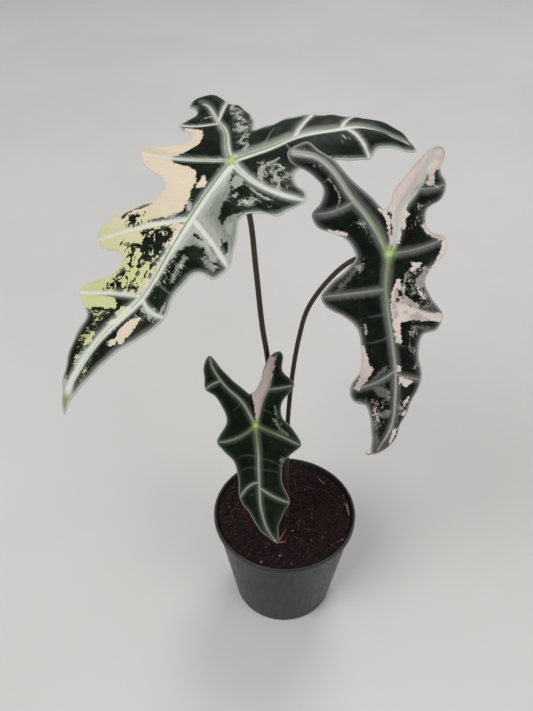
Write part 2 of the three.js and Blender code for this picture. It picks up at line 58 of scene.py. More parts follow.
# Leaves. heading and droop turn the blade, and seat is how far below the joint the petiole ends in the frame.
# quilt is how far the blade bulges between its veins, and rib_depth how far its ribs stand out below.
# Widths come in pairs, at the joint and at the far end: rib_line and vein_line for the lines of the ribs and
# of the veins, halo and vein_halo for the soft grey beside them, white and vein_white for the white inside
# that. green_reach is how far along each rib its line stays green.
# A point of an outline is (along the main lobe, across to the right in front view, lift off the flat
# blade). A fourth number makes it a stop, and is its place along the rib, from 0 at the joint to 1 at the
# rib's tip. A fifth says that a vein ends there, and is how far the vein bows towards the tip of the main
# lobe on its way. A sixth is how broad the bands beside that vein are. Each stretch of the outline ends at
# the first point of the next one.
LEAVES = {
    "large": dict(
        joint=(-35, -20, 428), heading=230, droop=22,
        stalk=dict(base=(-3.2, 3.4), top_radius=1.65, base_radius=2.9, route=[
            (-5, 3, 130), (-9, 1, 190), (-14.6, -1, 270), (-18.2, -3.4, 300), (-22, -7, 348),
            (-25.6, -12, 390)]),
        seat=3.45, quilt=1.3, rib_depth=2.2,
        ribs=dict(
            mid=[(0, 0, 0), (30, 3, -1), (56, 5, -5), (90, 6, -14), (117, -4, -23), (143, -9, -35),
                 (157, -5, -42)],
            left=[(0, 0, 0), (-5, -7, 0), (-18, -20, -2), (-26, -34, -5), (-38, -53, -10), (-43, -66, -15)],
            right=[(0, 0, 0), (-20, 11, -4), (-36, 18, -7), (-52, 28, -13), (-67, 38, -20), (-80, 59, -36)]),
        rib_line=(0.7, 0.35), green_reach=dict(mid=0.85, left=0.7, right=0.5), vein_line=(0.34, 0.15),
        vein_white=(0.75, 0.4), vein_halo=(2, 1.4),
        outline=[
            dict(rib="mid", halo=(2, 3.4), white=(0.4, 2.2), points=[
                (159.5, -4.5, -43, 1), (158, -7, -42), (151, -12.5, -38.5), (140, -18, -33.5),
                (127, -20.5, -26.5), (118, -19, -21.5), (113, -19.5, -20), (109, -24.5, -20),
                (105.5, -32, -21), (103, -37, -22, 0.55, 0, 1), (100, -36.5, -20), (93, -25.5, -15),
                (86, -17.5, -12), (81.5, -15.5, -9), (77.5, -17.5, -8), (76, -21.5, -8), (76, -27, -9),
                (77, -34, -11), (76, -40, -12), (72.5, -46.5, -14, 0.26, 0, 1.3), (69, -49, -13),
                (64, -48.5, -11), (51, -37, -6), (41, -23.5, -2), (37, -22, -1), (34, -21, 0),
                (30.5, -23.5, 1), (27, -32, 0), (25, -41, -2), (23, -48, -3), (19, -56, -4)]),
            dict(rib="left", halo=(2.4, 1), white=(0.2, 0), points=[
                (14, -61.5, -5, 0, 3.5, 0.8), (11, -60, -3), (8.5, -53, -2), (4, -44, -2), (-1, -39, -3),
                (-9, -39, -4), (-12, -52, -6), (-17, -59, -8, 0.5, 3.2, 0.6), (-27, -56, -10),
                (-31, -58, -11), (-35, -64, -13)]),
            dict(rib="left", halo=(2.4, 1.4), white=(1.9, -0.5), points=[
                (-39, -74, -17, 1), (-49, -75, -18), (-56, -66, -20), (-52, -53, -18, 0.52, -3.5, 0.7),
                (-49, -37, -14), (-45, -27, -13), (-39, -17, -10)]),
            dict(rib="right", halo=(4.6, 2.2), white=(0.6, -0.3), points=[
                (-30, -8, -6, 0), (-38, -4, -8), (-53, 4, -11), (-61, 9, -15, 0.36, 1, 1.1), (-68, 15, -19),
                (-78, 24, -26, 0.62, 0, 0.9), (-88, 41, -34), (-88, 51, -38)]),
            dict(rib="right", halo=(2.6, 2), white=(2.9, 1.2), points=[
                (-81.5, 63.5, -40, 1), (-78.5, 65, -39), (-73.5, 62.5, -35), (-65.5, 57, -27),
                (-59, 54, -24), (-54, 55, -23), (-50, 55, -23, 0.64, -3, 1), (-44, 51, -20), (-34, 44, -14),
                (-15, 35, -7), (-10, 35.5, -6), (-6.5, 38, -6), (-4.5, 42, -7), (-2.5, 48, -7),
                (-0.5, 50.5, -7)]),
            dict(rib="mid", halo=(5.2, 3), white=(4.4, 1.8), points=[
                (2, 51.7, -7, 0, 6, 1.7), (5.5, 51.4, -7), (9, 50, -7), (14, 48, -6), (17.5, 46, -6),
                (20.5, 42, -4), (24, 37, -2), (27, 34.5, 0), (32, 33.2, 0), (37.5, 35, -1),
                (43.5, 37.7, -4), (50, 39.5, -7), (56, 40.5, -10, 0.25, -1, 1.6), (61, 39, -11),
                (64.5, 35.5, -12), (65, 31, -10), (67, 28, -9), (71, 27, -8), (76, 26.2, -9),
                (85, 24.5, -12), (93.5, 25, -17, 0.55, 3, 1), (98.5, 23, -19), (103.5, 21, -20),
                (109, 18, -21), (119, 11.5, -23), (129.5, 5, -28), (135.5, 2, -31), (142.5, -1, -34),
                (147.5, -3.2, -37), (152.5, -5, -39.5), (156.5, -4.8, -41.5)]),
        ]),
    "right": dict(
        joint=(51.5, -56, 390), heading=270, droop=64,
        stalk=dict(base=(1.8, -2.8), top_radius=1.45, base_radius=2.5, route=[
            (1, -2.5, 130), (0.8, -1, 205), (3.3, -2, 256), (7.2, -6, 295), (11.5, -10, 319),
            (21.6, -18, 345), (35, -30, 369)]),
        seat=3.25, quilt=1.2, rib_depth=2,
        ribs=dict(
            mid=[(0, 0, 0), (19, -1, 0), (49, 4, -2), (67, 7, -5), (82, 8, -7), (102, 7, -10),
                 (119, 0, -14)],
            left=[(0, 0, 0), (-17, -10, 2), (-31, -22, 5), (-44, -32, 10), (-51, -41, 12), (-53, -53, 12)],
            right=[(0, 0, 0), (-10, 3, 1), (-24, 5, 3), (-37, 13, 7), (-46, 16, 11), (-54, 20, 15)]),
        rib_line=(0.8, 0.4), green_reach=dict(mid=0.48, left=0.5, right=0.1), vein_line=(0.34, 0.2),
        vein_white=(0, 0), vein_halo=(2, 1.7),
        outline=[
            dict(rib="mid", halo=(2.7, 2), white=(-1, -1), points=[
                (122, -3, -15, 1), (111, -4, -12), (97, -6, -8), (89, -9, -7), (87, -16, -10),
                (79, -18, -9, 0.56, 2.5), (67, -13, -4), (56, -13, -2), (42, -16, -1), (36, -23, -4),
                (30, -34, -7), (25, -36, -7, 0.16, 0), (18, -32, -4), (8, -22, 0)]),
            dict(rib="left", halo=(3.4, 2.6), white=(0.8, 1.2), points=[
                (2, -18, 1, 0), (-8, -24, 1), (-11, -32, -1), (-14, -39, -1), (-21, -42, -2, 0.44, 2),
                (-27, -38, 2), (-34, -37, 7), (-41, -42, 9), (-48, -54, 9)]),
            dict(rib="left", halo=(3, 2.4), white=(-1, 1), points=[
                (-53, -56, 11, 1), (-57, -50, 14), (-58, -46, 16), (-54, -40, 14), (-49, -32, 12),
                (-39, -22, 8), (-30, -11, 5)]),
            dict(rib="right", halo=(2, 2), white=(1.5, 2), points=[
                (-24, -4, 3, 0), (-27, -1, 4), (-33, 0, 6), (-42, 6, 10), (-50, 12, 13), (-54, 16, 15)]),
            dict(rib="right", halo=(3, 3.2), white=(1.8, 1.6), points=[
                (-56, 21, 16, 1), (-52, 25, 12), (-44, 23, 10), (-37, 28, 4, 0.62, 1), (-29, 26, 2),
                (-24, 19, 3), (-19, 18, 3), (-12, 22, -1)]),
            dict(rib="mid", halo=(2.4, 2), white=(-1, 0.2), points=[
                (-8, 32, -6, 0, 1.5), (1, 31, -4), (9, 23, -1), (15, 20, 1), (24, 24, -1),
                (36, 33, -7, 0.21, 0), (43, 30, -6), (46, 21, -2), (55, 19, -2), (74, 23, -9, 0.58, 0),
                (84, 19, -9), (95, 15, -10), (103, 12, -11), (115, 8, -13)]),
        ]),
    "small": dict(
        joint=(-23, -30, 232), heading=282, droop=66,
        stalk=dict(base=(-5.4, -4.2), top_radius=1.1, base_radius=2, route=[
            (-6, -5, 110), (-8, -7, 150), (-12, -10, 185), (-17, -14, 212)]),
        seat=2.95, quilt=1, rib_depth=1.8,
        ribs=dict(
            mid=[(0, 0, 0), (19, 0, 0), (43, -1, -2), (69, -1, -6), (89, 3, -10), (101, 9, -12)],
            left=[(0, 0, 0), (-19, -8, 0), (-29, -16, 0), (-36, -21, -1), (-47, -26, -1), (-53, -27, -1)],
            right=[(0, 0, 0), (-19, 7, 0), (-27, 12, 0), (-40, 15, 0), (-50, 19, 0)]),
        rib_line=(0.9, 0.55), green_reach=dict(mid=0.22, left=0.08, right=0.06), vein_line=(0.75, 0.55),
        vein_white=(0, 0), vein_halo=(1.7, 1.3),
        outline=[
            dict(rib="mid", halo=(2.6, 1.4), white=(-1, -1), points=[
                (103, 11, -13, 1), (99, 6, -12), (87, -3, -9), (70, -10, -6), (57, -16, -6, 0.44, -4),
                (40, -16, -2), (25, -18, -1), (16, -25, -4)]),
            dict(rib="left", halo=(2, 1.2), white=(-1, -1), points=[
                (10, -28, -5, 0, 3), (-6, -20, -1), (-17, -22, -1), (-25, -26, -2), (-31, -32, -4, 0.7, -1),
                (-40, -32, -4), (-50, -31, -2)]),
            dict(rib="left", halo=(2, 1.2), white=(-1, -1), points=[
                (-55, -27, -1, 1), (-45, -20, 0), (-37, -14, 0), (-27, -5, 0)]),
            dict(rib="right", halo=(1.6, 1), white=(-1, -1), points=[
                (-24, -2, 0, 0), (-25, 1, 0), (-32, 6, 0), (-41, 9, 1), (-50, 15, 1)]),
            dict(rib="right", halo=(2, 1), white=(-1, -1), points=[
                (-52, 21, 0, 1), (-48, 24, -1), (-39, 22, 0), (-24, 31, -5, 0.52, 0), (-15, 21, -1),
                (-5, 19, 0), (8, 27, -3)]),
            dict(rib="mid", halo=(2.4, 1.4), white=(-1, -1), points=[
                (24, 33, -8, 0, -1), (28, 23, -3), (34, 17, -2), (48, 16, -3), (69, 21.3, -9.6, 0.48, 1),
                (75.5, 16.5, -8.6), (86, 12, -10), (94, 11, -11)]),
        ]),
}

# Thin side veins between the main ones: (which stretch of the outline, place along the rib, how far they
# reach towards the margin, and how far they have swung along the main lobe there)
THIN_VEINS = {
    "large": [(5, 0.47, 0.95, 0), (5, 0.12, 0.6, 0), (0, 0.42, 0.5, 0), (4, 0.3, 0.7, 0),
              (3, 0.17, 0.7, 0)],
    "right": [(0, 0.27, 0.55, 0), (0, 0.38, 0.8, 0), (5, 0.42, 0.5, 0), (1, 0.7, 0.8, 0), (2, 0.5, 0.6, 0)],
    "small": [(0, 0.24, 0.9, -10.5), (5, 0.24, 0.95, -7.5), (0, 0.345, 0.85, -10.5), (5, 0.34, 0.85, -11),
              (4, 0.25, 0.5, 0), (1, 0.35, 0.6, 0)],
}

# Markings on the upper face: loose outlines in (along, across), which the material breaks up with noise.
# pale is cream or pink tissue, cloud is where that turns grey, hole is green tissue inside it and mottle a
# broken patch of that. silver is smooth grey, ash a lighter piece on the green, and fleck is where pale
# streaks lie on the green.
MARK_KINDS = ("pale", "cloud", "ash", "hole", "mottle", "silver", "fleck")
MARKS = {
    "large": dict(pale=[
        [(-14, -50), (-14, -36), (-11, -31.5), (-6, -27.5), (-3, -26.5), (1.5, -27.5), (6, -29.5),
         (9.5, -34), (12, -37), (15, -32), (14, -19), (16, -12), (23, -7), (32, -4), (41, -2), (47, -9),
         (53, -19), (60, -30), (64, -52), (46, -42), (38, -27), (34, -25), (30, -28), (26, -45), (20, -66),
         (8, -66), (0, -50), (-4, -43)],
        [(72, -52), (62, -50), (57, -31), (53, -18), (50, -10), (47, 3), (55, 5), (73, 5), (84, 5), (90, 4),
         (93, -4), (99, -19.5), (101, -30), (94, -31), (89, -24), (84.5, -21), (80, -19), (78, -25),
         (80, -34), (79, -46)],
        [(97, -40), (106, -39), (109, -26), (109, -19), (107.5, -19.5), (106, -17), (105, -11), (102.5, -5),
         (100, -5), (98, -8.5), (98, -12), (99, -19), (99, -23.5), (95, -27)],
        [(98, 1.5), (100, -2), (104, -3), (106.5, -3), (105, -1), (109.5, -4.5), (111, -4.5), (109.5, -1),
         (106.5, 2.5), (101.5, 3.5), (98, 4)],
        [(126.5, -11.5), (123.5, -12), (118, -9.5), (119, -8.5), (122.5, -8), (125, -9)],
        [(100.5, 13), (102, 9.5), (104.5, 8), (111.5, 5), (114, 6), (116.5, 5.5), (119, 2), (120, 5),
         (119, 7.5), (114.5, 9), (117.5, 9.5), (116.5, 11), (112, 12), (108, 13), (102, 14)],
        [(26, -4), (21, -6), (17, -7), (16, -6), (19, -2), (23, 0), (24, -2)],
    ], hole=[
        [(57.5, -38.5), (58, -37), (54, -35), (50, -31), (47, -26.5), (44, -23), (43, -24), (46, -29),
         (50, -34), (54, -38)],
        [(46, -6), (44, -1), (42, 3), (40, 0), (41, -3), (44, -5)],
        [(46, 28), (45, 30), (46, 31.5), (45, 34), (47.5, 35.5), (51.5, 35.5), (52, 34), (51, 31),
         (47.5, 30.5)],
        [(50, 13), (48.5, 14), (49, 17), (49.5, 20), (50.5, 20.5), (50.5, 17.5), (51, 15)],
    ], mottle=[
        [(59, -31), (60, -28), (57, -25), (55, -23), (55, -26), (51, -25), (52, -29), (54, -32)],
        [(60, -17.5), (56.5, -16), (55, -10), (52, -5.5), (51.5, -1.5), (54.5, 1.5), (57, 3), (62, 0.5),
         (65.5, 1), (73, 0), (76, -1.5), (82, -3), (81.5, -4.5), (75.5, -5.5), (71.5, -9), (68, -11.5),
         (64, -12.5)],
        [(71, -25), (68.5, -18.5), (68, -12), (71.5, -9), (74, -9), (76, -11.5), (76.5, -15),
         (73.5, -16.5)],
        [(60.5, 3.5), (65.5, 2), (74.5, 1.5), (75.5, 3), (72.5, 4), (68.5, 5), (65, 6)],
        [(83.5, 1.5), (76.5, 2), (76, 4), (79.5, 4.5)],
        [(98.5, -20.5), (93, -18.5), (88, -14.5), (82.5, -13.5), (80.5, -11), (82.5, -8.5), (88.5, -11),
         (89.5, -8), (87.5, -2), (88.5, 1), (91, -3.5), (94, -11), (95.5, -17.5)],
        [(76.5, -13), (75.5, -10), (77, -8), (80, -9), (79, -11)],
    ], silver=[
        [(53, -18), (48, -11), (45, -1), (43, 4), (41, 1), (41, -3), (45, -9), (50, -15)],
        [(32, -6), (36, -3.5), (39.5, 0), (38, 1.5), (33, -1.5)],
        [(3, 0), (2.5, 2), (3.5, 5.5), (7, 7), (11, 8.5), (15, 12), (18, 15.5), (22, 17), (25.5, 18.5),
         (29.5, 18.5), (33, 20.5), (37, 21.5), (39, 25.5), (34, 26.5), (29, 31), (35.5, 33.5), (40.5, 36),
         (46, 38), (50, 41), (54, 38), (54, 30.5), (52.5, 30.5), (48.5, 25), (45, 18.5), (42.5, 13),
         (42, 8), (28, 5), (17, 3), (8, 1)],
        [(46.5, 8), (43, 8.5), (43.5, 13.5), (46, 17.5), (49, 22), (52, 26.5), (55, 30.5), (56.5, 33.5),
         (58, 30), (56.5, 27), (54, 23.5), (54, 18.5), (56, 16), (60, 12), (70, 10.5), (80, 10.5), (80, 8),
         (66, 7.5)],
        [(104, 4), (110, 0), (117, -3), (121, -7), (127, -10), (137, -12), (140, -8), (130, -6), (117, -1),
         (112, 2)],
        [(143, -14), (150, -16), (162, -6), (158, 0), (147, -1), (150, -6)],
        [(62, 19), (62.5, 16.5), (66.5, 16.5), (74.5, 17.5), (78, 19), (77.5, 20.5), (72.5, 20)],
        [(58, 25), (56.5, 27), (58, 31.5), (58, 36.5), (61.5, 34), (61, 30)],
    ], ash=[
        [(15, 12), (11, 10), (8, 10), (8, 14), (8.5, 16), (11.5, 18), (13.5, 17.5), (16, 16.5), (16, 14)],
        [(39, 27), (37, 29), (36, 31), (38.5, 33), (42, 33), (41, 30)],
        [(21, 18), (17.5, 18.5), (17.5, 20.5), (21.5, 21)],
        [(11, 18.5), (12, 22), (13.5, 28), (14, 34.5), (11.5, 39.5), (12, 35), (12, 30.5), (11.5, 26),
         (10.5, 21)],
        [(3.5, 21.5), (-1, 18), (-4, 17), (-8.5, 19.5), (-16, 21.5), (-14.5, 22.5), (-6, 20.5),
         (-1.5, 21.5), (2.5, 24.5), (5.5, 28), (5.5, 26)],
        [(-3, 26.5), (-6, 25.5), (-9, 26.5), (-12, 29), (-9, 29.5), (-6, 27.5), (-3.5, 28), (-3.5, 31),
         (0.5, 34.5), (4.5, 37.5), (6, 37), (5.5, 34.5), (1, 33), (-0.5, 29)],
        [(-4.5, 30), (-6, 33.5), (-8, 34.5), (-4.5, 34)],
        [(-38.5, -35), (-43, -39), (-46, -40.5), (-44.5, -37), (-39.5, -32.5), (-36, -31)],
        [(-34.5, -27.5), (-42, -29), (-37.5, -26.5), (-34, -25.5)],
        [(-20, -12), (-25.5, -15), (-27.5, -14), (-30.5, -13.5), (-27, -11.5), (-23, -11.5)],
        [(-13, -6), (-18, -7.5), (-23, -9), (-19, -6.5), (-14.5, -5.5)],
        [(-7, 1), (-10, 0), (-13.5, -0.5), (-17, -2), (-15, 1), (-12.5, 2), (-9.5, 1.5)],
        [(-42.5, -24), (-39.5, -18.5), (-36.5, -13), (-32, -9.5), (-36, -15.5)],
        [(-26, -18.5), (-31.5, -18), (-30.5, -16.5), (-26.5, -17)],
        [(96.5, 9.5), (93.5, 11), (94, 14.5), (92.5, 18.5), (96, 19), (99.5, 19), (99, 16.5), (97, 14.5),
         (98, 12)],
        [(98.5, 20), (94, 21), (88, 22), (92, 22.5), (96, 21)],
    ], fleck=[
        [(-46, -44), (-46, -27), (-34, -11), (-14, 2), (-6, 0), (-13, -9), (-34, -33)],
        [(-5, 11), (-15, 20), (-13, 33), (0, 42), (8, 38), (5, 25), (0, 16)],
        [(-43, 36), (-47, 34.5), (-54, 38), (-53, 41), (-49, 43), (-43, 40)],
        [(-34, 40), (-27, 38), (-21, 37), (-34, 44), (-48, 54), (-50, 51), (-41, 45)],
        [(60, 8), (66, 24), (76, 22), (90, 10), (78, 9)],
        [(99, 3), (93, 16), (96, 22), (104, 17), (106, 8)],
        [(109, -22), (102, -6), (114, -6), (122, -12)],
        [(112, -17), (128, -17), (143, -14), (148, -9), (132, -8), (116, -6)],
        [(112, 9), (124, 4), (138, -1), (146, -4), (136, -5), (120, 2)],
        [(-22, -50), (-30, -48), (-30, -40), (-20, -42)],
        [(16, 20), (30, 24), (22, 36), (16, 40), (12, 30)],
    ]),
    "right": dict(pale=[
        [(-24, -7), (-26, -4), (-32, -2), (-36, 0), (-42, 3), (-46, 8), (-50, 11), (-55, 15), (-59, 20),
         (-57, 27), (-51, 28), (-46.5, 24), (-43.5, 21), (-37.5, 21), (-35.5, 24), (-35.5, 22), (-37, 17.5),
         (-37.5, 14), (-37, 12.5), (-32, 10), (-24.5, 7.5), (-22, 9.5), (-18.5, 8), (-13, 7.5), (-13.5, 6),
         (-4.5, 5.5), (-7.5, 3.5), (-4, 1), (-7.5, 0), (-15, -2), (-19.5, -3)],
        [(-16, 16), (-17, 18), (-15, 24), (-12, 32), (-7.5, 36), (-2, 35), (2, 33), (6, 30), (10, 26),
         (11.5, 21.5), (8.5, 22.5), (4.5, 26), (0, 28.5), (-4.5, 30), (-7, 29.5), (-8.5, 23.5), (-12, 19)],
        [(24.5, 2), (26, 4.5), (27.5, 9.5), (29.5, 14.5), (31.5, 19.5), (33.5, 24.5), (34, 33), (40, 33),
         (38.5, 26.5), (37.5, 16.5), (38, 8.5), (41.5, 8), (49, 9), (50.5, 8), (50, 6), (44, 4.5),
         (35.5, 3), (29, 2)],
        [(9, 11.5), (6.5, 13), (4.5, 12), (4.5, 16), (5, 18.5), (7.5, 17), (9.5, 14)],
        [(19, 15), (18.5, 16.5), (21.5, 19), (25.5, 21.5), (24.5, 19.5), (21.5, 17)],
        [(49, -17), (52, -12), (58, -9.5), (64, -8), (66, -6), (70.5, -8), (75.5, -10), (80.5, -13),
         (79, -16), (74.5, -14.5), (70.5, -13), (66, -15), (58, -16)],
        [(-12.5, -34), (-12.5, -29), (-11.5, -23), (-9.5, -23), (-10, -26.5), (-10.5, -34)],
        [(64, 7.5), (64.5, 10.5), (67.5, 10), (68.5, 8.5)],
        [(71.5, 9.5), (72, 14), (74.5, 18), (76.5, 16), (77.5, 13), (74.5, 11.5), (75.5, 9.5)],
        [(84, 14.5), (83, 16.5), (87, 16), (89.5, 13.5), (87, 12.5)],
        [(92.5, 13), (91.5, 15.5), (95.5, 14), (95.5, 12)],
        [(105, 8), (103.5, 10.5), (108, 9.5), (114.5, 7.5), (115.5, 5.5), (109, 7)],
        [(88.5, -4.5), (92, -3), (97.5, -1.5), (99.5, 0.5), (98, -2.5), (93, -4)],
        [(16.5, 3), (13.5, 5), (13.5, 6.5), (16, 6), (20.5, 8.5), (25.5, 10), (20.5, 5.5), (25.5, 5),
         (25.5, 2.5), (20, 3)],
        [(22, 1.5), (18.5, 4), (18, 7), (17, 10), (22, 9), (26, 14), (29.5, 19), (30.5, 16), (26, 7.5)],
    ], cloud=[
        [(20, 4), (18, 9), (22, 10), (26, 15), (30, 17), (26, 9), (23, 4)],
        [(27, 3), (27.5, 5.5), (30.5, 5.5), (30.5, 3.5)],
        [(32.5, 4), (31.5, 6), (35, 6.5), (36.5, 4.5)],
        [(32, 9.5), (31.5, 12), (33.5, 12), (33.5, 9.5)],
        [(36, 11.5), (33, 15.5), (33, 18), (35.5, 21.5), (37.5, 25), (37.5, 16.5)],
    ], hole=[
        [(-23.5, -2.5), (-23, -1), (-19.5, 0.5), (-18, 0), (-20.5, -1.5)],
        [(-17, -0.5), (-16.5, 1), (-7.5, 1.5), (-11.5, 0)],
        [(-43, 16), (-39, 17.5), (-37.5, 16.5), (-38.5, 14), (-41.5, 15)],
        [(-45, 20), (-45, 21.5), (-42, 21.5), (-38.5, 23.5), (-35.5, 25), (-37.5, 22.5), (-41.5, 20.5)],
        [(19.5, 5), (20, 7), (24.5, 9), (23.5, 6.5)],
    ], silver=[
        [(4, -18), (6.5, -17), (10.5, -18), (15.5, -21.5), (20, -24.5), (23.5, -26), (23.5, -28),
         (19, -27.5), (14.5, -23.5), (9.5, -20)],
        [(5.5, -17), (7.5, -14.5), (10.5, -15), (11, -16.5), (8, -15.5)],
        [(41, 18.5), (41, 25), (43, 25.5), (43.5, 21.5)],
        [(67, -2), (64, 0), (65.5, 2), (68, 1), (72, -3.5), (73, -6.5), (69.5, -4)],
        [(78, -5.5), (77, 0), (79.5, 4.5), (86, 5), (87.5, 3), (84, 2), (83, -2)],
        [(93.5, -1), (91.5, 3), (92, 6), (96, 5.5), (96.5, 0)],
        [(94, -8.5), (99, -2.5), (106, -1.5), (116.5, 1), (121, -3), (111.5, -6)],
    ], ash=[
        [(10, 9.5), (13, 10), (16.5, 9), (19, 9), (20, 7.5), (17, 7), (13, 8.5)],
        [(10.5, 21.5), (9.5, 19.5), (12, 17), (14, 15), (17.5, 14.5), (19, 17), (17.5, 22), (13, 23.5)],
        [(-41, -36), (-37.5, -32), (-33.5, -29), (-29.5, -27.5), (-25, -28.5), (-23, -30.5), (-25.5, -29),
         (-29.5, -28.5), (-33, -30), (-37, -33)],
        [(39.5, -13), (39, -11), (44.5, -10), (45.5, -11.5), (42, -12.5)],
    ], fleck=[
        [(-21, -18), (-17, -12), (-5, -4), (0, -8), (-8, -13), (-16, -21)],
        [(5, 8), (5, 27), (19, 22), (30, 31), (38, 27), (26, 12), (17, 8)],
        [(42, 10), (38, 18), (60, 24), (70, 20), (66, 13)],
        [(84, -10), (84, 4), (106, 2), (112, -2)],
        [(84, 8), (84, 18), (106, 11), (112, 3)],
        [(-30, 12), (-28, 20), (-14, 16), (-14, 10)],
        [(34, -16), (40, -10), (50, -9), (44, -16)],
        [(-46, -44), (-50, -52), (-56, -48), (-44, -34)],
        [(0, -14), (6, -10), (14, -18), (8, -22)],
    ]),
    "small": dict(pale=[
        [(-52, 14), (-44, 11), (-39, 8), (-33, 4), (-28, 2), (-24, -0.5), (-17, 0), (-8, 0.5), (-2, 0.5),
         (-2, 1.5), (-8, 3.5), (-19, 7), (-25, 10.5), (-29, 12.5), (-34, 14.5), (-40, 16), (-47, 18.5)],
    ], ash=[
        [(-13, 14), (-13, 15), (-8, 15.5), (-6, 14)],
        [(-5, 12), (-2, 15), (5, 18), (8, 19), (5, 16), (-1, 13)],
        [(6, 19), (10, 23), (14, 25), (12, 21)],
    ], fleck=[
        [(-14, 13), (-12, 17), (3, 21), (14, 23), (10, 14), (-3, 12)],
        [(24, 14), (27, 24), (38, 16), (33, 11)],
    ]),
}

# Colours of the blades' tissues, each (red, green, blue) from 0 to 255. pale_low is the greener or duller
# kind of pale. glow is how much grey is painted along the inside of the margin as a painted glow, rim how
# far from the edge the margin's colour starts and where it is full, and streak how closely the flecks follow
# each other along the margin and outward.
LOOKS = {
    "large": dict(green=(8, 17, 8), green_light=(20, 35, 18), line=(122, 146, 96), vein=(212, 214, 203),
        halo=(164, 168, 158), white=(232, 231, 222), pale=(226, 209, 185), pale_low=(207, 208, 152),
        cloud=(170, 168, 158), silver=(132, 136, 126), fleck=(188, 191, 176), ash=(160, 164, 151),
        margin=(188, 191, 182), tip=(108, 128, 56), glow=0.48, rim=(1.45, 0.5), streak=(0.95, 0.26)),
    "right": dict(green=(8, 14, 8), green_light=(21, 29, 18), line=(126, 148, 96), vein=(160, 163, 150),
        halo=(122, 123, 121), white=(206, 206, 198), pale=(224, 207, 199), pale_low=(198, 181, 173),
        cloud=(146, 142, 138), silver=(84, 88, 80), fleck=(172, 167, 158), ash=(150, 146, 137),
        margin=(152, 154, 147), tip=(84, 82, 70), glow=0.42, rim=(1.4, 0.5), streak=(0.34, 0.85)),
    # The small leaf's light colours are darker than the others': painted shade, as it lies under them
    "small": dict(green=(8, 16, 7), green_light=(18, 31, 14), line=(112, 130, 84), vein=(156, 163, 149),
        halo=(104, 111, 100), white=(190, 196, 180), pale=(212, 190, 181), pale_low=(194, 172, 163),
        cloud=(160, 152, 150), silver=(138, 144, 130), fleck=(120, 130, 104), ash=(112, 121, 98),
        margin=(120, 128, 113), tip=(60, 66, 40), glow=0.2, rim=(1.1, 0.4), streak=(0.4, 0.8)),
}

# How strongly the soft grey shows, the colours of the joint and of its middle, and those of the underside
HALO_SHARE = 0.85
JOINT_GREEN = (134, 164, 80)
JOINT_MIDDLE = (196, 206, 138)
UNDER = (86, 54, 58)
UNDER_RIB = (142, 140, 98)

# How finely things are divided: samples from one corner of a smooth line to the next, faces from a rib to
# the margin, millimetres along the margin from column to column, and faces round a stalk, the pot and the
# soil
SAMPLES = 20
BLADE_ROWS = 44
BLADE_STEP = {"large": 1.0, "right": 0.9, "small": 0.85}
STALK_RINGS = 190
STALK_SIDES = 28
POT_SIDES = 160
SOIL_RINGS = 80
SOIL_SIDES = 200

# Thickness of a blade inside and at its margin, how far the rounded margin stands out, and the power by
# which the blade arches on its way from a rib to the margin
BLADE_THICKNESS = 0.75
EDGE_THICKNESS = 0.42
EDGE_BULGE = 0.24
ARCH = 1.6

# What a distance field holds where nothing is near
NO_VEIN = -50.0
NO_MARK = -20.0

# Litter on the soil: (name, count, smallest and largest size, how often the ball is divided) for the
# crumbs, then how many bark chips, perlite grains and coir fibres, the places of two perlite grains that
# show, and the wood splinters from one end to the other with their radius
CRUMBS = (("soil_crumbs", 1300, 0.6, 1.35, 2), ("soil_crumbs_fine", 4500, 0.25, 0.6, 1))
CHIPS = 130
GRAINS = 11
FIBRES = 150
GRAINS_SEEN = ((-5.5, 27), (21.5, -29))
SPLINTERS = (((53.6, 8.5), (54.8, -5), 0.7), ((43, -31), (48.4, -28), 0.5), ((-38, 14), (-33, 19), 0.5),
             ((36, 30), (31, 36), 0.45))

# Lights: (name, place in metres, size, power)
LIGHTS = (("key", (-1.5, -1.4, 2.6), 1.6, 50), ("fill", (1.9, -1.5, 1.6), 1.8, 20),
          ("back", (0.7, 1.9, 2.5), 1.4, 28))


# Geometry helpers

def spline(points, closed=False, per=SAMPLES):
    """Centripetal Catmull-Rom samples through the points, and the length along them at each sample."""
    p = np.asarray(points, float)
    if closed:
        ring = np.vstack([p[-1], p, p[0], p[1]])
    else:
        ring = np.vstack([2 * p[0] - p[1], p, 2 * p[-1] - p[-2]])
    t = np.linspace(0, 1, per, endpoint=False)[:, None]
    samples = []
    for p0, p1, p2, p3 in zip(ring, ring[1:], ring[2:], ring[3:]):
        d0, d1, d2 = (np.linalg.norm(b - a) ** 0.5 for a, b in ((p0, p1), (p1, p2), (p2, p3)))
        m1 = d1 * ((p1 - p0) / d0 - (p2 - p0) / (d0 + d1) + (p2 - p1) / d1)
        m2 = d1 * ((p2 - p1) / d1 - (p3 - p1) / (d1 + d2) + (p3 - p2) / d2)
        bend = 3 * (p2 - p1) - 2 * m1 - m2
        samples.append(p1 + m1 * t + bend * t ** 2 + (2 * (p1 - p2) + m1 + m2) * t ** 3)
    samples.append(p[:1] if closed else p[-1:])
    line = np.vstack(samples)
    steps = np.linalg.norm(np.diff(line, axis=0), axis=1)
    return line, np.concatenate([[0], np.cumsum(steps)])


def at_share(curve, share):
    """Points at shares, from 0 to 1, of a curve's length."""
    line, lengths = curve
    at = np.asarray(share) * lengths[-1]
    return np.stack([np.interp(at, lengths, line[:, i]) for i in range(3)], -1)


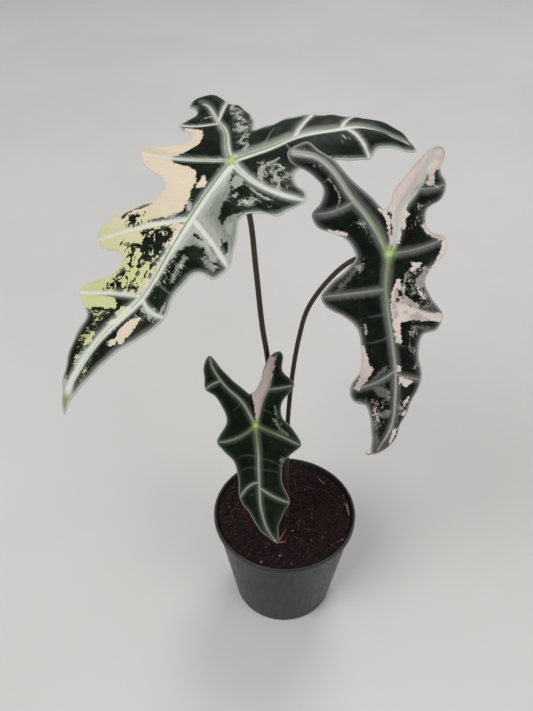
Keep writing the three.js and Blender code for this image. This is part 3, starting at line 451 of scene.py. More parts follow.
def distance_to(points, line):
    """How far each point is from a line of points, and the share of the line where it is nearest."""
    best = np.full(len(points), np.inf)
    where = np.zeros(len(points))
    spans = len(line) - 1
    for i in range(spans):
        a = line[i]
        ab = line[i + 1] - a
        s = np.clip((points - a) @ ab / max(ab @ ab, 1e-12), 0, 1)
        d = np.linalg.norm(points - a - s[:, None] * ab, axis=1)
        nearer = d < best
        best = np.where(nearer, d, best)
        where = np.where(nearer, (i + s) / spans, where)
    return best, where


def depth_inside(flat, outline):
    """How deep each flat point lies inside a closed outline, and negative outside it."""
    corners = np.asarray(outline, float)
    inside = np.zeros(len(flat), bool)
    for a, b in zip(corners, np.roll(corners, -1, axis=0)):
        crosses = (a[1] > flat[:, 1]) != (b[1] > flat[:, 1])
        rise = b[1] - a[1] if b[1] != a[1] else 1
        inside ^= crosses & (flat[:, 0] < (b[0] - a[0]) * (flat[:, 1] - a[1]) / rise + a[0])
    d, _ = distance_to(flat, np.vstack([corners, corners[:1]]))
    return np.where(inside, d, -d)


def normals_of(points, quads):
    """Average normal at each point of a quad mesh."""
    a, b, c, d = (points[quads[:, i]] for i in range(4))
    face = np.cross(c - a, d - b)
    out = np.zeros_like(points)
    for i in range(4):
        np.add.at(out, quads[:, i], face)
    return out / np.maximum(np.linalg.norm(out, axis=1, keepdims=True), 1e-12)


def ease(value, low, high):
    """0 below low, 1 above high and smooth between them. With low above high it runs the other way."""
    t = np.clip((value - low) / (high - low), 0, 1)
    return t * t * (3 - 2 * t)


def add_object(name, data):
    """A new object in the scene."""
    made = bpy.data.objects.new(name, data)
    bpy.context.scene.collection.objects.link(made)
    return made


def make_piece(name, points, faces, material, slot, replaced=(), fields=None, uvs=None, smooth=True):
    """One mesh object on the root body, from points in millimetres."""
    mesh = bpy.data.meshes.new(name)
    mesh.from_pydata((np.asarray(points) * MM).tolist(), [], [list(map(int, f)) for f in faces])
    for field, values in (fields or {}).items():
        kind, key = ("FLOAT_VECTOR", "vector") if np.ndim(values) == 2 else ("FLOAT", "value")
        layer = mesh.attributes.new(field, kind, "POINT")
        layer.data.foreach_set(key, np.asarray(values, np.float32).ravel())
    if uvs is not None:
        layer = mesh.uv_layers.new(name="OFBake")
        layer.data.foreach_set("uv", np.asarray(uvs, np.float32).ravel())
    mesh.polygons.foreach_set("use_smooth", [smooth] * len(mesh.polygons))
    mesh.materials.append(material)
    mesh.update()
    piece = add_object(name, mesh)
    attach(piece, "root")
    if replaced:
        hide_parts(*replaced)
    return piece


def ring_faces(rings, sides):
    """Faces of a closed surface: rings of points in a row, and then the two points that close its ends."""
    faces = []
    last = rings * sides
    for j in range(sides):
        k = (j + 1) % sides
        faces += [(i * sides + j, i * sides + k, (i + 1) * sides + k, (i + 1) * sides + j)
                  for i in range(rings - 1)]
        faces += [(last, k, j), (last + 1, last - sides + j, last - sides + k)]
    return faces


def tube(path, radii, sides, shape=None):
    """Points and faces of a closed round tube along a path. shape changes the radius by turn and ring."""
    path = np.asarray(path, float)
    count = len(path)
    radii = np.broadcast_to(radii, count)
    forward = np.gradient(path, axis=0)
    forward /= np.linalg.norm(forward, axis=1, keepdims=True)
    side = np.cross(forward[0], [0.3, 1, 0.2])
    angles = np.linspace(0, 2 * np.pi, sides, endpoint=False)
    rings = []
    for i in range(count):
        side = side - forward[i] * (side @ forward[i])
        side /= np.linalg.norm(side)
        other = np.cross(forward[i], side)
        reach = radii[i] * (shape(angles, i / (count - 1)) if shape else np.ones(sides))
        turned = np.cos(angles)[:, None] * side + np.sin(angles)[:, None] * other
        rings.append(path[i] + reach[:, None] * turned)
    return np.vstack(rings + [path[:1], path[-1:]]), ring_faces(count, sides)


def joined(tubes):
    """Points and faces of several tubes as one mesh."""
    faces = []
    start = 0
    for points, some in tubes:
        faces += [tuple(v + start for v in face) for face in some]
        start += len(points)
    return np.vstack([points for points, _ in tubes]), faces


# Materials

def linear(color):
    """A colour from 0 to 255 as Blender's linear RGBA."""
    s = np.asarray(color, float) / 255
    low = s / 12.92
    high = ((s + 0.055) / 1.055) ** 2.4
    return (*np.where(s <= 0.04045, low, high), 1)


class Shader:
    """A material whose nodes are written as expressions."""

    def __init__(self, name, roughness=0.5, specular=0.5):
        self.material = bpy.data.materials.new(name)
        self.material.use_nodes = True
        self.tree = self.material.node_tree
        self.surface = self.tree.nodes["Principled BSDF"]
        self.put(self.surface.inputs["Roughness"], roughness)
        self.put(self.surface.inputs["Specular IOR Level"], specular)

    def put(self, socket, value):
        """Links a node's output to a socket, or sets a number or a colour there."""
        if isinstance(value, bpy.types.NodeSocket):
            self.tree.links.new(value, socket)
        elif isinstance(value, tuple) and len(value) == 3 and socket.type == "RGBA":
            socket.default_value = linear(value)
        else:
            socket.default_value = value

    def node(self, kind, inputs=(), **settings):
        made = self.tree.nodes.new(kind)
        for key, value in settings.items():
            setattr(made, key, value)
        for key, value in dict(inputs).items():
            self.put(made.inputs[key], value)
        return made

    def field(self, name, output="Fac"):
        return self.node("ShaderNodeAttribute", attribute_name=name).outputs[output]

    def math(self, operation, *values):
        return self.node("ShaderNodeMath", dict(enumerate(values)), operation=operation).outputs[0]

    def sum(self, *terms):
        """Adds values, where a pair is (value, times)."""
        total = None
        for term in terms:
            value = self.both(*term) if isinstance(term, tuple) else term
            total = value if total is None else self.math("ADD", total, value)
        return total

    def ease(self, value, low, high, bottom=0.0, top=1.0):
        """bottom below low, top above high and smooth between them. low may be the higher one."""
        inputs = {"Value": value, "From Min": low, "From Max": high, "To Min": bottom, "To Max": top}
        return self.node("ShaderNodeMapRange", inputs, interpolation_type="SMOOTHSTEP").outputs["Result"]

    def both(self, *shares):
        """Multiplies shares or values."""
        out = shares[0]
        for share in shares[1:]:
            out = self.math("MULTIPLY", out, share)
        return out

    def without(self, share, taken):
        """A share, less what is taken from it."""
        return self.both(share, self.math("SUBTRACT", 1.0, taken))

    def mix(self, share, a, b):
        made = self.node("ShaderNodeMix", data_type="RGBA")
        self.put(made.inputs[0], share)
        self.put(made.inputs[6], a)
        self.put(made.inputs[7], b)
        return made.outputs[2]

    def layered(self, base, *layers):
        """Lays colours over a base, where a layer is (share, colour)."""
        for share, color in layers:
            base = self.mix(share, base, color)
        return base

    def scaled(self, vector, scale):
        made = self.node("ShaderNodeVectorMath", {0: vector}, operation="MULTIPLY")
        made.inputs[1].default_value = scale
        return made.outputs[0]

    def noise(self, vector, scale, detail=3.0, roughness=0.55, twist=0.0):
        inputs = {"Vector": vector, "Scale": scale, "Detail": detail, "Roughness": roughness,
                  "Distortion": twist}
        return self.node("ShaderNodeTexNoise", inputs).outputs["Fac"]

    def swing(self, vector, scale, reach, **grain):
        """Noise about zero, reaching about half of reach either way."""
        return self.both(self.math("SUBTRACT", self.noise(vector, scale, **grain), 0.5), reach)

    def cells(self, vector, scale):
        return self.node("ShaderNodeTexVoronoi", {"Vector": vector, "Scale": scale}).outputs["Distance"]

    def place(self):
        return self.node("ShaderNodeTexCoord").outputs["Object"]

    def place_mm(self):
        return self.scaled(self.place(), (1 / MM,) * 3)

    def color(self, value):
        self.put(self.surface.inputs["Base Color"], value)

    def roughness(self, value):
        self.put(self.surface.inputs["Roughness"], value)

    def bump(self, height, distance, strength=1.0):
        inputs = {"Height": height, "Distance": distance, "Strength": strength}
        self.put(self.surface.inputs["Normal"], self.node("ShaderNodeBump", inputs).outputs["Normal"])


def blade_material(name, look):
    """Variegated blade: near-black green, pale and silver tissue, grey bands and a purple underside."""
    s = Shader(f"blade_{name}_leaf", specular=0.09)
    spot = s.field("spot", "Vector")
    flow = s.field("flow", "Vector")
    along, across, _ = s.node("ShaderNodeSeparateXYZ", {0: spot}).outputs
    fine = s.swing(spot, 1.5, 1.4)
    ragged = s.sum(s.swing(spot, 0.42, 4.0, roughness=0.5, twist=1.0), (fine, 0.9))
    streaks = s.swing(s.scaled(flow, (0.55, 0.09, 1)), 1.0, 3.4, roughness=0.5)
    marbled = s.sum(s.swing(spot, 0.25, 15.5, twist=1.3), (fine, 0.6))
    wisps = s.swing(s.scaled(flow, (0.12, 0.6, 1)), 1.0, 3.6, detail=4.0, roughness=0.6)

    # Where each kind of tissue lies
    mottle = s.sum(s.math("MINIMUM", s.field("mottle"), 1.6), marbled)
    hole = s.ease(s.math("MAXIMUM", s.sum(s.field("hole"), ragged), mottle), -0.2, 0.35)
    pale = s.without(s.ease(s.sum(s.field("pale"), ragged, (streaks, 0.4)), -0.2, 0.3), hole)
    silver = s.without(s.ease(s.sum(s.field("silver"), (ragged, 1.3), streaks), -0.8, 0.9), hole)
    cloud = s.ease(s.sum(s.field("cloud"), ragged, fine), -0.8, 0.8)
    ash = s.ease(s.sum(s.field("ash"), (ragged, 0.8), (streaks, 0.5)), -0.3, 0.45)
    strands = s.noise(s.scaled(flow, (*look["streak"], 1)), 1.0, roughness=0.6, twist=1.3)
    patches = s.noise(spot, 0.16, detail=2.0)
    specks = s.noise(spot, 1.5, detail=2.0)
    density = s.ease(s.field("fleck"), -2.0, 4.0)
    fleck = s.ease(s.sum((strands, 0.8), (patches, 0.6), (specks, 0.45), (density, 0.2)), 1.165, 1.21)
    dots = s.ease(s.sum(specks, (patches, 0.25)), 0.865, 0.91)

    # Bands along the veins and the margin
    minor = s.ease(s.field("minor"), -1.1, 0.4)
    halo = s.ease(s.sum(s.field("halo"), fine, (wisps, 0.65)), -2.4, 2.6)
    white = s.ease(s.sum(s.field("white"), (fine, 0.7), (wisps, 0.4)), -1.5, 1.0)
    gleam = s.ease(s.sum(s.field("white"), wisps), -8.0, -0.5)
    line = s.ease(s.field("line"), -0.25, 0.2)
    vein = s.ease(s.field("vein"), -0.3, 0.2)
    rim = s.ease(s.sum(s.field("edge"), (fine, 0.3)), *look["rim"])
    # Painted glow: grey painted along the inside of the margin, standing for light catching it there
    glow = s.ease(s.sum(s.field("edge"), fine, (wisps, 0.4)), 4.0, 0.6)
    center = s.ease(s.field("joint"), 6.5, 2.0)
    middle = s.ease(s.field("joint"), 2.6, 1.0)
    near = s.ease(s.field("joint"), 38.0, 6.0)
    tip = s.ease(s.field("tip"), 11.0, 5.0)
    low = s.both(s.ease(along, 36.0, 62.0), s.ease(across, 7.0, 0.0))

    # Colours of the green, the grey and the pale tissue
    lighter = s.ease(s.noise(spot, 0.12, detail=5.0, roughness=0.6), 0.38, 0.7)
    # The green takes the painted glow, in grey, along the margin
    green = s.layered(look["green"], (lighter, look["green_light"]), (s.both(minor, 0.32), look["halo"]),
                      (s.both(glow, look["glow"]), look["halo"]))
    soft = s.ease(s.sum(wisps, s.swing(spot, 0.35, 1.6, detail=5.0)), -0.9, 0.9, top=0.5)
    grey = s.layered(look["silver"], (soft, look["halo"]), (s.both(gleam, 0.5), look["white"]))
    greener = s.math("MAXIMUM", s.ease(s.noise(spot, 0.08), 0.3, 0.62, top=0.8), s.ease(along, 60.0, 78.0))
    blotches = s.ease(s.noise(spot, 0.35, detail=5.0), 0.5, 0.75, top=0.2)
    threads = s.noise(s.scaled(flow, (0.9, 0.12, 1)), 1.0, detail=4.0, roughness=0.65)
    tissue = s.layered(
        look["pale"],
        (s.both(low, greener), look["pale_low"]),
        (s.both(cloud, 0.6), look["cloud"]),
        (blotches, look["pale_low"]),
        (s.ease(threads, 0.45, 0.75, top=0.3), look["cloud"]))

    # The upper face, one layer over another. Bands and lines are fainter where they cross pale tissue
    faint = s.both(pale, 0.7)
    top = s.layered(
        green,
        (s.both(silver, 0.93), grey),
        (ash, look["ash"]),
        (s.math("MAXIMUM", fleck, dots), s.mix(low, look["fleck"], look["pale_low"])),
        (pale, tissue),
        (s.both(s.without(halo, s.both(pale, 0.92)), HALO_SHARE), look["halo"]),
        (s.both(white, 0.9), look["white"]),
        (s.both(tip, 0.85), look["tip"]),
        (s.without(s.both(rim, 0.85), s.both(pale, 0.75)), look["margin"]),
        (s.without(s.both(vein, 0.7), faint), s.mix(near, look["vein"], look["line"])),
        (s.without(s.both(line, 0.85), faint), s.mix(s.field("verdure"), look["vein"], look["line"])),
        (s.both(center, s.math("MAXIMUM", line, s.both(halo, 0.6))), JOINT_GREEN),
        (s.both(middle, 0.8), JOINT_MIDDLE))

    # The underside
    ribbed = s.ease(s.math("MAXIMUM", s.field("line"), s.field("vein")), -0.9, 0.0)
    under = s.layered(UNDER, (s.ease(s.noise(spot, 0.12, detail=4.0), 0.3, 0.7), look["green_light"]),
                      (s.both(pale, 0.6), look["pale_low"]), (ribbed, UNDER_RIB),
                      (s.both(rim, 0.6), look["margin"]))
    s.color(s.mix(s.field("under"), top, under))

    # Gloss and the finest relief
    matt = s.ease(s.noise(spot, 0.25, detail=4.0), 0.3, 0.7, 0.38, 0.48)
    s.roughness(s.sum((pale, 0.08), (line, 0.1), matt))
    grain = s.noise(spot, 2.6, detail=4.0)
    s.bump(s.sum((s.cells(spot, 1.3), 0.35), (grain, 0.5), (minor, -0.35), (line, 0.4)), 0.0002, 0.7)
    return s.material


def stalk_material():
    """Petiole: olive at the top, reddish brown below, with fine lengthwise streaks and dots."""
    s = Shader("petiole_skin", specular=0.3)
    skin = s.field("skin", "Vector")
    rise = s.field("rise")
    streaks = s.noise(s.scaled(skin, (1.0, 1.0, 0.05)), 1.3, detail=5.0)
    dots = s.cells(s.scaled(skin, (1.0, 1.0, 0.4)), 1.5)
    s.color(s.layered(
        (52, 31, 26),
        (s.ease(s.sum(rise, (streaks, 0.3)), 0.62, 1.2), (74, 68, 40)),
        (s.ease(rise, 0.12, 0.0), (92, 72, 54)),
        (s.ease(streaks, 0.5, 0.75, top=0.6), (46, 29, 22)),
        (s.ease(dots, 0.16, 0.08, top=0.5), (48, 30, 24))))
    s.roughness(s.ease(streaks, 0.3, 0.7, 0.38, 0.55))
    s.bump(s.sum(streaks, (dots, 0.3)), 0.00015, 0.7)
    return s.material


def litter_material(name, dark, brown, bright, grain=1.6):
    """Potting mix: dark crumbs, browner ones, and a few bright bits, by each one's own tone."""
    s = Shader(name, specular=0.25)
    place = s.place_mm()
    tone = s.field("tone")
    grit = s.noise(place, grain, detail=6.0, roughness=0.7)
    s.color(s.layered(
        dark,
        (s.ease(s.sum(tone, (grit, 0.5)), 0.35, 1.0), brown),
        (s.ease(tone, 0.86, 0.95), bright),
        # Painted highlights: lighter specks where the grit noise peaks
        (s.ease(grit, 0.62, 0.8, top=0.22), (112, 74, 66))))
    s.roughness(s.ease(grit, 0.3, 0.7, 0.72, 0.95))
    s.bump(s.sum(grit, (s.noise(place, 6.0), 0.4)), 0.0005, 0.9)
    return s.material


def pot_material():
    """Moulded black plastic with a fine grain, faint rub marks and some soil dust at its foot and rim."""
    s = Shader("pot_plastic", specular=0.5)
    place = s.place_mm()
    height = s.node("ShaderNodeSeparateXYZ", {0: place}).outputs[2]
    rubs = s.noise(s.scaled(place, (0.25, 0.25, 0.03)), 1.0, detail=6.0, roughness=0.7)
    dust = s.both(s.ease(s.noise(place, 0.25, detail=6.0, roughness=0.7), 0.5, 0.75),
                  s.math("MAXIMUM", s.ease(height, 20.0, 0.0), s.ease(height, 92.0, 100.0)))
    s.color(s.layered(
        (22, 22, 24),
        (s.ease(rubs, 0.45, 0.8), (40, 40, 42)),
        (s.both(dust, 0.45), (92, 72, 58))))
    s.roughness(s.sum(s.ease(rubs, 0.35, 0.7, 0.34, 0.5), (dust, 0.25)))
    s.bump(s.sum((s.noise(place, 3.5), 0.6), (rubs, 0.4)), 0.00012, 0.6)
    return s.material


def plain_material(name, light, dark, scale, roughness):
    """A mottled material of two colours."""
    s = Shader(name, roughness=roughness, specular=0.3)
    place = s.place_mm()
    mottle = s.noise(place, scale, detail=6.0, roughness=0.65)
    s.color(s.mix(s.ease(mottle, 0.35, 0.7), light, dark))
    s.bump(s.sum(mottle, (s.noise(place, scale * 5), 0.4)), 0.0003, 0.8)
    return s.material


# Leaves

def blade_turn(leaf):
    """Rows: the blade's along, across and lift directions."""
    heading, droop = np.radians([leaf["heading"], leaf["droop"]])
    level = np.array([math.cos(heading), math.sin(heading), 0])
    up = np.array([0, 0, 1])
    along = math.cos(droop) * level - math.sin(droop) * up
    lift = math.sin(droop) * level + math.cos(droop) * up
    return np.stack([along, np.cross(lift, along), lift])


Stop = namedtuple("Stop", "place corner bow breadth", defaults=(None, 1))


def blade_sides(leaf):
    """The margin, and each stretch of it with its stops in order along the rib."""
    corners = []
    sides = []
    outline = leaf["outline"]
    for stretch, following in zip(outline, outline[1:] + outline[:1]):
        reached = stretch["points"] + following["points"][:1]
        stops = [Stop(p[3], len(corners) + i, *p[4:]) for i, p in enumerate(reached) if len(p) > 3]
        corners += [p[:3] for p in stretch["points"]]
        outward = stops[0].place < stops[-1].place
        sides.append(dict(stretch, outward=outward, stops=stops if outward else stops[::-1]))
    margin = spline(corners, closed=True)
    shares = margin[1] / margin[1][-1]
    for side in sides:
        side["places"] = np.array([stop.place for stop in side["stops"]])
        side["shares"] = np.array([shares[stop.corner * SAMPLES] for stop in side["stops"]])
        side["bows"] = np.array([stop.bow or 0 for stop in side["stops"]])
    return margin, sides


def rib_stations(sides, rib, margin_length, step):
    """Places along a rib where columns start, closer together beside the veins."""
    both = [side for side in sides if side["rib"] == rib]
    stops = sorted(set(np.concatenate([side["places"] for side in both])))
    stations = [0.0]
    for a, b in zip(stops, stops[1:]):
        ends = [np.interp([a, b], side["places"], side["shares"]) for side in both]
        longest = max(abs(end - start) for start, end in ends)
        count = max(3, round(longest * margin_length / step))
        x = np.arange(1, count + 1) / count
        stations += list(a + (b - a) * (x - 0.5 * np.sin(2 * np.pi * x) / (2 * np.pi)))
    return np.array(stations)


def blade_grid(leaf, step):
    """The smooth middle surface of a blade.

    Columns of points run from a rib to the margin. The row of a point says where it lies: (share of the way
    from rib to margin, place along the rib, stretch of the outline, share of the way from stop to stop).
    """
    margin, sides = blade_sides(leaf)
    x = np.arange(1, BLADE_ROWS + 1) / BLADE_ROWS
    t = x - 0.45 * np.sin(2 * np.pi * x) / (2 * np.pi)
    points = []
    rows = []
    feet = {}
    curves = {}
    for rib, line in leaf["ribs"].items():
        curves[rib] = spline(line)
        stations = rib_stations(sides, rib, margin[1][-1], step)
        index = [0] if points else []
        for station in stations[len(index):]:
            index.append(len(points))
            points.append(at_share(curves[rib], station))
            rows.append((0, station, 0, 0))
        feet[rib] = (stations, index)
    columns = []
    veins = []
    for k, side in enumerate(sides):
        stations, index = feet[side["rib"]]
        places = side["places"]
        order = list(range(len(stations)))
        if not side["outward"]:
            order.reverse()
        for i in order[:-1]:
            station = stations[i]
            share = np.interp(station, places, side["shares"])
            bow = np.interp(station, places, side["bows"])
            low = min(max(np.searchsorted(places, station, side="right") - 1, 0), len(places) - 2)
            part = (station - places[low]) / (places[low + 1] - places[low])
            foot = points[index[i]]
            edge = at_share(margin, share % 1)
            column = foot + (edge - foot) * t[:, None]
            column[:, 0] += bow * 4 * t * (1 - t)
            column[:, 2] = foot[2] + (edge[2] - foot[2]) * t ** ARCH
            column[:, 2] += leaf["quilt"] * np.sin(np.pi * t) * math.sin(math.pi * part)
            columns.append([index[i]] + list(range(len(points), len(points) + BLADE_ROWS)))
            points += list(column)
            rows += [(v, station, k, part) for v in t]
            veins += [(len(columns) - 1, stop.breadth) for stop in side["stops"]
                      if stop.bow is not None and abs(stop.place - station) < 1e-9]
    return SimpleNamespace(points=np.array(points), rows=np.array(rows), columns=np.array(columns),
                           veins=veins, margin=margin, sides=sides, curves=curves)


# For each stretch of the outline, which stretch gives the band widths beside each rib
NEAR_SIDE = {"mid": (0, 0, 0, 5, 5, 5), "left": (1, 1, 2, 2, 1, 1), "right": (4, 3, 3, 3, 4, 4)}


def column_near(grid, stretch, station):
    """The column of a stretch that starts nearest to a place along its rib."""
    _, places, stretches, _ = grid.rows[grid.columns[:, 1]].T
    return grid.columns[np.argmin(np.where(stretches == stretch, np.abs(places - station), np.inf))]


def between(ends, share):
    """A width that changes evenly from a vein's start to its far end."""
    return ends[0] * (1 - share) + ends[1] * share


def swell(d, share, height, loss, width):
    """Relief over a vein: its height at the start, what it loses by the far end, and its half width."""
    return (height - loss * share) * np.exp(-(d / width) ** 2)


def blade_fields(name, leaf, grid):
    """Distances and markings at each point for the material, and how strong the relief is there."""
    points = grid.points
    bands = {key: np.full(len(points), NO_VEIN) for key in ("line", "vein", "halo", "white", "minor")}
    relief = {key: np.zeros(len(points)) for key in ("groove", "cord", "ridge")}
    verdure = np.zeros(len(points))

    def widen(fields, **values):
        for key, value in values.items():
            fields[key] = np.maximum(fields[key], value)

    for rib, curve in grid.curves.items():
        d, share = distance_to(points, at_share(curve, np.linspace(0, 1, 31)))
        near = np.array(NEAR_SIDE[rib])[grid.rows[:, 2].astype(int)]
        halo, white = (np.array([side[key] for side in grid.sides], float)[near].T
                       for key in ("halo", "white"))
        line = between(leaf["rib_line"], share) - d
        reach = leaf["green_reach"][rib]
        verdure = np.where(line > bands["line"], ease(share, 1.25 * reach, 0.35 * reach), verdure)
        widen(bands, line=line, halo=between(halo, share) - d, white=between(white, share) - d)
        widen(relief, groove=swell(d, share, 1, 0.6, 2.4), cord=swell(d, share, 1, 0.6, 0.8),
              ridge=leaf["rib_depth"] * swell(d, share, 1, 0.75, 1.9 - 1.1 * share))
    for c, breadth in grid.veins:
        d, share = distance_to(points, points[grid.columns[c][::4]])
        fade = ease(share, 1.06, 0.8)
        widen(bands, vein=between(leaf["vein_line"], share) * fade - d,
              halo=between(leaf["vein_halo"], share) * breadth * fade - d)
        if leaf["vein_white"][0] > 0:
            widen(bands, white=between(leaf["vein_white"], share) * breadth * fade - d)
        widen(relief, groove=swell(d, share, 0.85, 0.5, 1.5), cord=swell(d, share, 0.45, 0.25, 0.55),
              ridge=swell(d, share, 0.95, 0.7, 0.85))
    for stretch, station, reach, swung in THIN_VEINS[name]:
        column = column_near(grid, stretch, station)[:int(reach * BLADE_ROWS):3]
        thread = points[column, :2]
        thread[:, 0] += swung * (1 - (1 - grid.rows[column, 0]) ** 2)
        d, share = distance_to(points[:, :2], thread)
        widen(bands, minor=0.5 - d - 0.6 * share)
        widen(relief, groove=swell(d, share, 0.4, 0.25, 1.0), ridge=swell(d, share, 0.4, 0.25, 0.7))
    edge, _ = distance_to(points, at_share(grid.margin, np.linspace(0, 1, 500)))
    relief["groove"] *= ease(edge, 0, 2.5)
    relief["ridge"] *= ease(edge, 0, 4)
    marks = {}
    for kind in MARK_KINDS:
        depths = [depth_inside(points[:, :2], outline) for outline in MARKS[name].get(kind, ())]
        marks[kind] = np.max([np.full(len(points), NO_MARK), *depths], axis=0)
    fields = dict(bands, verdure=verdure, edge=edge, joint=np.linalg.norm(points, axis=1),
                  tip=np.linalg.norm(points - at_share(grid.curves["mid"], 1), axis=1), **marks)
    return fields, relief


def flow_of(points, columns):
    """Place along the margin and distance from the rib, so that streaks run outward with the veins."""
    flow = np.zeros((len(points), 3))
    starts = points[columns[:, 0]]
    edges = points[columns[:, -1]]
    round_it = np.concatenate([[0], np.cumsum(np.linalg.norm(np.diff(edges, axis=0), axis=1))])
    for c, column in enumerate(columns):
        flow[column, 0] = round_it[c]
        flow[column, 1] = np.linalg.norm(points[column] - starts[c], axis=1)
    return flow


def make_blade(name, leaf):
    """The fine blade that stands for the frame's blade: relief on both faces and a rounded margin."""
    grid = blade_grid(leaf, BLADE_STEP[name])
    points, columns = grid.points, grid.columns
    fields, relief = blade_fields(name, leaf, grid)
    flow = flow_of(points, columns)
    following = np.roll(columns, -1, axis=0)
    quads = np.stack([columns[:, :-1], following[:, :-1], following[:, 1:], columns[:, 1:]], -1)
    quads = quads.reshape(-1, 4)

    # Beyond the end of a rib the columns crowd together, so they share one normal there
    normals = normals_of(points, quads)
    for curve in grid.curves.values():
        near_end = ease(np.linalg.norm(points - at_share(curve, 1), axis=1), 6, 3)[:, None]
        common = (normals * near_end).sum(0)
        normals = normals * (1 - near_end) + common / np.linalg.norm(common) * near_end
    normals /= np.linalg.norm(normals, axis=1, keepdims=True)

    t, _, _, part = grid.rows.T
    pucker = 0.35 * np.sin(np.pi * t) * np.sin(3 * np.pi * part) ** 2
    waves = 0.35 * ease(t, 0.6, 1.0) * np.sin(flow[:, 0] * 0.42)
    bead = 0.14 * ease(fields["edge"], 1.2, 0.2)
    thick = EDGE_THICKNESS + (BLADE_THICKNESS - EDGE_THICKNESS) * ease(fields["edge"], 0, 3)
    rise = 0.42 * relief["cord"] - 0.85 * relief["groove"] + pucker + waves + bead
    upper = points + normals * rise[:, None]
    fall = pucker + waves - 0.35 * relief["groove"] - thick - 0.9 * relief["ridge"]
    lower = points + normals * fall[:, None]

    rim = columns[:, -1]
    outward = points[rim] - points[columns[:, -3]]
    outward /= np.linalg.norm(outward, axis=1, keepdims=True)
    middle = (upper[rim] + lower[rim]) / 2 + outward * EDGE_BULGE
    count = len(points)
    rim_index = 2 * count + np.arange(len(columns))
    rim_next = np.roll(rim_index, -1)
    edge_next = np.roll(rim, -1)
    upper_rim = np.stack([rim, edge_next, rim_next, rim_index], -1)
    lower_rim = np.stack([rim_index, rim_next, edge_next + count, rim + count], -1)
    faces = np.vstack([quads, quads[:, ::-1] + count, upper_rim, lower_rim])

    spot = np.concatenate([points[:, :2], np.zeros((count, 1))], axis=1)
    laid = {key: np.concatenate([values, values, values[rim]])
            for key, values in dict(fields, spot=spot, flow=flow).items()}
    laid["under"] = np.concatenate([np.zeros(count), np.ones(count), np.zeros(len(rim))])

    # The upper face fills the left half of the texture and the lower face the right half
    gap, half_width, height = 0.012, 0.475, 0.95
    low, high = spot.min(0), spot.max(0)
    size = min(half_width / (high[1] - low[1]), height / (high[0] - low[0]))
    flat = (spot[:, [1, 0]] - low[[1, 0]]) * size + gap
    push = outward[:, [1, 0]] * 0.5 * size
    shift = np.array([0.5, 0])
    uv_upper = np.concatenate([flat, flat + shift, flat[rim] + push])
    uv_lower = np.concatenate([flat, flat + shift, flat[rim] + push + shift])
    loops = len(faces) - len(lower_rim)
    uvs = np.vstack([uv_upper[faces[:loops].ravel()], uv_lower[faces[loops:].ravel()]])

    world = np.array(leaf["joint"]) + np.vstack([upper, lower, middle]) @ blade_turn(leaf)
    make_piece(f"leaf_{name}", world, faces, blade_material(name, LOOKS[name]), f"blade_{name}",
               [f"blade_{name}"], laid, uvs)


def stalk_path(leaf):
    """Middle line of a petiole, from the corm into the rib at the joint."""
    lift = blade_turn(leaf)[2]
    joint = np.array(leaf["joint"])
    base = leaf["stalk"]["base"]
    return spline([(*base, CORM_TOP), (*base, SOIL["top"]), *leaf["stalk"]["route"],
                   joint - lift * (leaf["seat"] + 6), joint - lift * leaf["seat"], joint - lift * 1.3])


def make_stalk(name, leaf, material):
    """A petiole: a fine tapering tube, channelled on one side, with an open sheath at its foot."""
    share = np.linspace(0, 1, STALK_RINGS)
    middle = stalk_path(leaf)
    stalk = leaf["stalk"]
    taper = 0.45 * (1 - share) + 0.55 * (1 - share) ** 12
    radii = stalk["top_radius"] + (stalk["base_radius"] - stalk["top_radius"]) * taper
    radii = radii * (1 + 0.14 * ease(share, 0.955, 1))

    def section(angles, u):
        channel = np.exp(-((angles - math.pi) / 0.42) ** 2)
        return 1 - channel * (0.1 + 0.22 * ease(u, 0.2, 0.04)) + 0.05 * np.cos(2 * angles)

    points, faces = tube(at_share(middle, share), radii, STALK_SIDES, section)
    rise = np.append(np.repeat(share, STALK_SIDES), [0, 1])
    angles = np.append(np.tile(np.linspace(0, 2 * np.pi, STALK_SIDES, endpoint=False), STALK_RINGS), [0, 0])
    skin = np.stack([2.4 * np.cos(angles), 2.4 * np.sin(angles), rise * middle[1][-1]], -1)
    make_piece(f"stalk_{name}", points, faces, material, "stalk", [f"petiole_{name}"],
               dict(rise=rise, skin=skin))


def make_dry_tips():
    """Withered brown curls at the tips of the right and the small leaf, each thinner towards its far end."""
    material = plain_material("dry_tip", (150, 104, 62), (74, 40, 24), 1.2, 0.7)
    curls = {
        "right": [([(119.5, -2.4, -14.5), (121.8, -4, -14.9), (122, -5.8, -14.6), (120.4, -7, -14)],
                   0.6, 0.2)],
        "small": [([(101, 10.5, -12.6), (102.6, 12.5, -13), (102.4, 14.6, -12.4), (101, 16.2, -11.6),
                    (99.6, 16.8, -11)], 0.65, 0.25),
                  ([(100.5, 11.2, -12.6), (98, 13.2, -12.2), (95, 15, -12.4), (91.6, 17.4, -12)], 0.6, 0.3)],
    }
    rings = 26

    def section(angles, u):
        return 0.45 + 0.55 * np.abs(np.cos(angles + 3 * u))

    for name, parts in curls.items():
        turn = blade_turn(LEAVES[name])
        joint = np.array(LEAVES[name]["joint"])
        tubes = []
        for line, thick, thin in parts:
            path = at_share(spline(line), np.linspace(0, 1, rings)) @ turn + joint
            radii = np.linspace(thick, thin, rings) * (1 + 0.18 * np.sin(np.arange(rings) * 1.3))
            tubes.append(tube(path, radii, 10, section))
        make_piece(f"dry_tip_{name}", *joined(tubes), material, f"blade_{name}")


# Pot

def inner_radius(z):
    """Radius of the pot's inner wall at a height."""
    return POT["base_radius"] + (POT["top_radius"] - POT["base_radius"]) * z / POT["height"] - POT["wall"]


